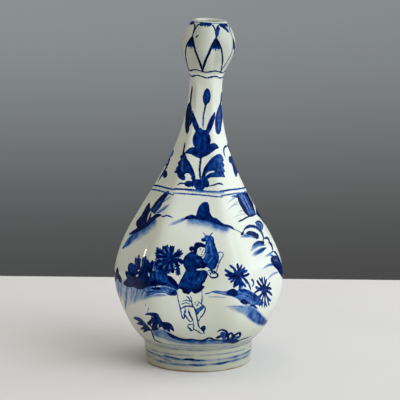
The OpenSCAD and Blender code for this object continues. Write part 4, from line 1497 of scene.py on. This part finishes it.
def cobalt_ink(tree, place):
    """The two layers of ink as one amount: ragged crisp marks or uneven washes, whichever is darker."""
    cover, tone, wash = (wire(tree, "ShaderNodeAttribute", attribute_name=name).outputs["Fac"]
                         for name in ("cover", "tone", "wash"))
    ragged = spread(tree, mottle(tree, place, FRAY_PER_METRE), 0.2, 0.8, -FRAY_MM, FRAY_MM)
    mark = spread(tree, calc(tree, "ADD", cover, ragged), -EDGE_MM, EDGE_MM)
    heaped = spread(tree, mottle(tree, place, HEAP_PER_METRE, 4.0), 0.3, 0.7, *HEAP_RANGE)
    runny = spread(tree, mottle(tree, place, RUN_PER_METRE, 5.0), 0.25, 0.75, *RUN_RANGE)
    strokes = calc(tree, "MULTIPLY", calc(tree, "MULTIPLY", mark, tone), heaped)
    return calc(tree, "MAXIMUM", strokes, calc(tree, "MULTIPLY", wash, runny))


def cobalt_scale(tree, ink):
    """The colour of an amount of ink, from bare porcelain to the darkest blue."""
    ramp = wire(tree, "ShaderNodeValToRGB", {"Fac": ink})
    ramp.color_ramp.interpolation = "EASE"
    for k, (stop, shade) in enumerate(COBALT):
        element = ramp.color_ramp.elements[k] if k < 2 else ramp.color_ramp.elements.new(stop)
        element.position, element.color = stop, colour(*shade)
    return ramp.outputs["Color"]


print(f"{len(COBALT)} steps from bare porcelain to thick ink")

# %% [markdown]
# The glaze lies over everything. It ripples slowly, has a fine orange peel, and is never quite even in
# its gloss, which stays calmer over thick ink. Towards the foot it turns darker and greyer: partly glaze
# that ran down and pooled, partly painted shade low on the vase. A few rusty specks of iron show in it.
# At the standing edge it was wiped off, so bare clay shows there. The head and the foot get darker,
# greyer copies of the glaze, which are painted shade on these parts.

# %% Glaze
GLAZE_SPECULAR = 0.24
INKED_SPECULAR = 0.03
GLAZE_ROUGHNESS = (0.045, 0.085)
RIPPLE_PER_METRE = 45
RIPPLE_SHARE = 0.2
PEEL_PER_METRE = 600
PEEL_SHARE = 0.01
SPECKS_PER_METRE = 70.0
IRON = colour(128, 112, 88)
# Darkening towards the foot: partly pooled glaze, partly painted shade low on the vase.
POOL_AND_SHADE_HEIGHTS = (0.06, 0.012)
POOLED_AND_SHADED_TINT = colour(202, 200, 190)
BARE_HEIGHTS = (0.0016, 0.0006)
BARE_WAVER = 0.0007
BARE_CLAY = (colour(176, 152, 118), colour(128, 102, 74))


def glaze_surface(tree, shader, place):
    """The gloss of a wood-fired glaze: slow ripples and fine orange peel, never quite even."""
    ripple = calc(tree, "MULTIPLY", mottle(tree, place, RIPPLE_PER_METRE, 1.0), RIPPLE_SHARE)
    peel = calc(tree, "MULTIPLY", mottle(tree, place, PEEL_PER_METRE, 2.0), PEEL_SHARE)
    roughen(tree, shader, calc(tree, "ADD", ripple, peel), strength=0.25, distance=0.0008)
    gloss = spread(tree, mottle(tree, place, 30), 0.3, 0.7, *GLAZE_ROUGHNESS)
    feed(tree, shader.inputs["Roughness"], gloss)


def iron_specks(tree, place):
    """Rare rusty specks: the middles of large random cells, and only in some of the cells."""
    cells = wire(tree, "ShaderNodeTexVoronoi", {"Vector": place, "Scale": SPECKS_PER_METRE})
    chance = wire(tree, "ShaderNodeSeparateColor", {"Color": cells.outputs["Color"]}).outputs["Red"]
    middles = spread(tree, cells.outputs["Distance"], 0.04, 0.015)
    return calc(tree, "MULTIPLY", middles, spread(tree, chance, 0.65, 0.7))


def bare_edge(tree, place, finish):
    """Clay where the glaze was wiped off the standing edge, up to a height that wavers."""
    waver = spread(tree, mottle(tree, place, 60), 0.3, 0.7, -BARE_WAVER, BARE_WAVER)
    bare = spread(tree, calc(tree, "ADD", height_of(tree, place), waver), *BARE_HEIGHTS)
    return blend(tree, bare, finish, blend(tree, mottle(tree, place, 250), *BARE_CLAY))


def painted_glaze(name, tint_low, tint_high, wiped=False):
    """Glaze over ink: the colour of the ink times a tint that wanders between a darker and a paler one."""
    material, tree, shader, place = new_material(name)
    ink = cobalt_ink(tree, place)
    shader.inputs["Specular IOR Level"].default_value = GLAZE_SPECULAR
    calmer = spread(tree, ink, 0.2, 0.7, GLAZE_SPECULAR, INKED_SPECULAR)
    feed(tree, shader.inputs["Specular IOR Level"], calmer)
    tint = blend(tree, spread(tree, mottle(tree, place, 22), 0.35, 0.7), tint_high, tint_low)
    tint = blend(tree, iron_specks(tree, place), tint, IRON)
    # Darker and greyer towards the foot: pooled glaze and painted shade.
    tint = blend(tree, spread(tree, height_of(tree, place), *POOL_AND_SHADE_HEIGHTS), tint, POOLED_AND_SHADED_TINT)
    finish = blend(tree, 1.0, cobalt_scale(tree, ink), tint, blend_type="MULTIPLY")
    if wiped:
        finish = bare_edge(tree, place, finish)
    feed(tree, shader.inputs["Base Color"], finish)
    glaze_surface(tree, shader, place)
    return material


body_glaze = painted_glaze("painted_glaze", colour(242, 243, 234), colour(255, 255, 255))
# The head and the foot get darker, greyer tints of the glaze than the body: painted shade on these parts.
shaded_head_glaze = painted_glaze("shaded_head_glaze", colour(214, 214, 208), colour(232, 233, 229))
shaded_foot_glaze = painted_glaze("shaded_foot_glaze", colour(174, 184, 191), colour(196, 206, 212), wiped=True)
glaze_of = {"foot_ring": shaded_foot_glaze, "garlic_head": shaded_head_glaze}
for piece, node in zip(piece_list, list(sections) + ["foot_ring"]):
    piece.data.materials.append(glaze_of.get(node, body_glaze))
    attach(piece, "root")
    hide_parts(node)
    print(f"{piece.name} stands for {node}, in {piece.data.materials[0].name}")

# %% [markdown]
# The floor slab and the slip beds keep their solids, because their shapes are right. They show only
# under the foot and through the mouth. The slab is glazed thinly underneath, and the slip has fired to
# a dull buff.

# %% Slip and floor
GRAIN_PER_METRE = 420
ROUGHNESS_SPREAD = 0.08


def fired_clay(name, pale, dark, rough):
    """Unpainted clay: a colour that wanders from pale to dark, and a grain that is felt and seen."""
    material, tree, shader, place = new_material(name)
    grain = mottle(tree, place, GRAIN_PER_METRE, 5.0)
    patches = spread(tree, mottle(tree, place, 90), 0.3, 0.7)
    feed(tree, shader.inputs["Base Color"], blend(tree, patches, pale, dark))
    roughen(tree, shader, grain, strength=0.3, distance=0.0003)
    gloss = spread(tree, grain, 0.3, 0.7, rough - ROUGHNESS_SPREAD, rough + ROUGHNESS_SPREAD)
    feed(tree, shader.inputs["Roughness"], gloss)
    return material


slip_finish = fired_clay("fired_slip", colour(206, 192, 168), colour(180, 160, 130), 0.7)
floor_finish = fired_clay("floor_glaze", colour(214, 216, 206), colour(196, 192, 176), 0.3)
for node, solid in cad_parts.items():
    if node == "base_floor" or node.startswith("slip_"):
        solid.data.materials.clear()
        solid.data.materials.append(floor_finish if node == "base_floor" else slip_finish)
        print(f"{node} keeps its solid, in {solid.data.materials[0].name}")

# %% [markdown]
# ## Stage, light and camera
# The vase stands on a pale table, and a plain wall far behind darkens downwards in painted shade. Both are
# single quads, because only their colour counts. They are stage, so they aren't part of the vase.

# %% Stage
TABLE_BACK = 0.33
TABLE_REACH = 2.0
WALL_BACK = 4.0
WALL_REACH = 8.0
WALL_LOW, WALL_HIGH = -5.0, 6.0
# Heights where the wall's painted shade is pale and where it is dark: a falloff of light down the wall.
WALL_SHADE_FADE = (0.25, -0.8)


def sheet(name, corners, pale, dark, fade=None):
    """A matt quad, mottled pale to dark, or painted with shade from pale at one height to dark at another.
    """
    mesh = bpy.data.meshes.new(name)
    mesh.from_pydata(corners, [], [(0, 1, 2, 3)])
    thing = bpy.data.objects.new(name, mesh)
    bpy.context.scene.collection.objects.link(thing)
    material, tree, shader, place = new_material(name)
    share = spread(tree, height_of(tree, place), *fade) if fade else mottle(tree, place, 6)
    feed(tree, shader.inputs["Base Color"], blend(tree, share, pale, dark))
    shader.inputs["Roughness"].default_value = 0.9
    mesh.materials.append(material)
    print(f"{name} is stage")


table_edges = ((-TABLE_REACH, -TABLE_REACH), (TABLE_REACH, -TABLE_REACH),
               (TABLE_REACH, TABLE_BACK), (-TABLE_REACH, TABLE_BACK))
wall_edges = ((-WALL_REACH, WALL_LOW), (WALL_REACH, WALL_LOW),
              (WALL_REACH, WALL_HIGH), (-WALL_REACH, WALL_HIGH))
sheet("table", [(x, y, 0) for x, y in table_edges], colour(245, 242, 239), colour(236, 233, 230))
# The wall darkens downwards in painted shade, as the light falls off towards the table.
sheet("back_wall", [(x, WALL_BACK, z) for x, z in wall_edges], colour(206, 219, 231), colour(110, 114, 118),
      fade=WALL_SHADE_FADE)

# %% [markdown]
# A large cool window far to the right lights the vase, with its light narrowed so that the table
# doesn't burn out. A smaller window at the side lifts the right edge, a skylight fills from above, and
# two small lamps on the left are there for the thin glints in the glaze. A picture of a real room could
# do the same, but a script that reads no files uses area lamps. The room itself is warm and dim, and
# glossy rays see a dimmer one, because bright reflections would wash out the dark blues.

# %% Light
LAMPS_AIM = Vector((0, 0, 0.14))
ROOM = {"Color": (1.0, 0.92, 0.81, 1.0), "Strength": 0.34}
MIRRORED_ROOM = {"Color": (0.92, 0.96, 1.0, 1.0), "Strength": 0.12}
LAMPLIGHT = (1.0, 0.97, 0.9)

world = bpy.data.worlds.new("soft_room")
bpy.context.scene.world = world
world.use_nodes = True
room = world.node_tree
warm = room.nodes["Background"]
for name, value in ROOM.items():
    warm.inputs[name].default_value = value
dim = wire(room, "ShaderNodeBackground", MIRRORED_ROOM)
mirrored = wire(room, "ShaderNodeLightPath").outputs["Is Glossy Ray"]
both = wire(room, "ShaderNodeMixShader", {0: mirrored, 1: warm.outputs[0], 2: dim.outputs[0]})
feed(room, room.nodes["World Output"].inputs["Surface"], both.outputs[0])


def window(name, place, size, watts, tint, spread_degrees=180):
    """A rectangular lamp that faces the middle of the vase and isn't seen by the camera."""
    light = bpy.data.lights.new(name, "AREA")
    light.shape = "RECTANGLE"
    light.size, light.size_y = size
    light.energy = watts
    light.color = tint
    light.spread = math.radians(spread_degrees)
    lamp = bpy.data.objects.new(name, light)
    lamp.location = place
    lamp.visible_camera = False
    lamp.rotation_euler = (LAMPS_AIM - lamp.location).to_track_quat("-Z", "Y").to_euler()
    bpy.context.scene.collection.objects.link(lamp)
    print(f"{name}: {watts} W from {(LAMPS_AIM - lamp.location).length:.1f} m")


window("window_right", (2.2, -1.4, 1.6), (3.6, 3.0), 23.5, (0.92, 0.98, 1.06), spread_degrees=80)
window("window_side", (1.3, 0.6, 0.8), (0.8, 1.5), 6, (0.8, 0.93, 1.0))
window("window_left", (-1.37, 0.0, 0.48), (0.06, 0.1), 0.06, LAMPLIGHT)
window("window_far_left", (-1.205, 0.64, 0.3), (0.012, 0.1), 0.15, LAMPLIGHT)
window("skylight", (-0.2, 0.2, 1.9), (2.0, 2.0), 7, (1.0, 0.99, 0.97))

# %% [markdown]
# The camera stands a little above the vase and a few degrees to its right. Its lens follows from how
# many pixels one radian covers, so the outline of the vase falls where the photograph has it.

# %% Camera
IMAGE_PIXELS = 400
FOCAL_PIXELS = 1552.0
SENSOR_MM = 36.0
CAMERA_DISTANCE = 1.25
CAMERA_HEIGHT = 0.3268
CAMERA_TURN = math.radians(3)
AIM = Vector((0.0013, 0.0, 0.1332))

view = bpy.data.cameras.new("camera")
view.sensor_width = SENSOR_MM
view.lens = FOCAL_PIXELS / IMAGE_PIXELS * SENSOR_MM
camera = bpy.data.objects.new("camera", view)
ahead = Vector((math.sin(CAMERA_TURN), -math.cos(CAMERA_TURN), 0)) * CAMERA_DISTANCE
camera.location = ahead + Vector((0, 0, CAMERA_HEIGHT))
camera.rotation_euler = (AIM - camera.location).to_track_quat("-Z", "Y").to_euler()
bpy.context.scene.collection.objects.link(camera)
bpy.context.scene.camera = camera
bpy.context.scene.view_settings.view_transform = "Standard"
print(f"lens {view.lens:.1f} mm")
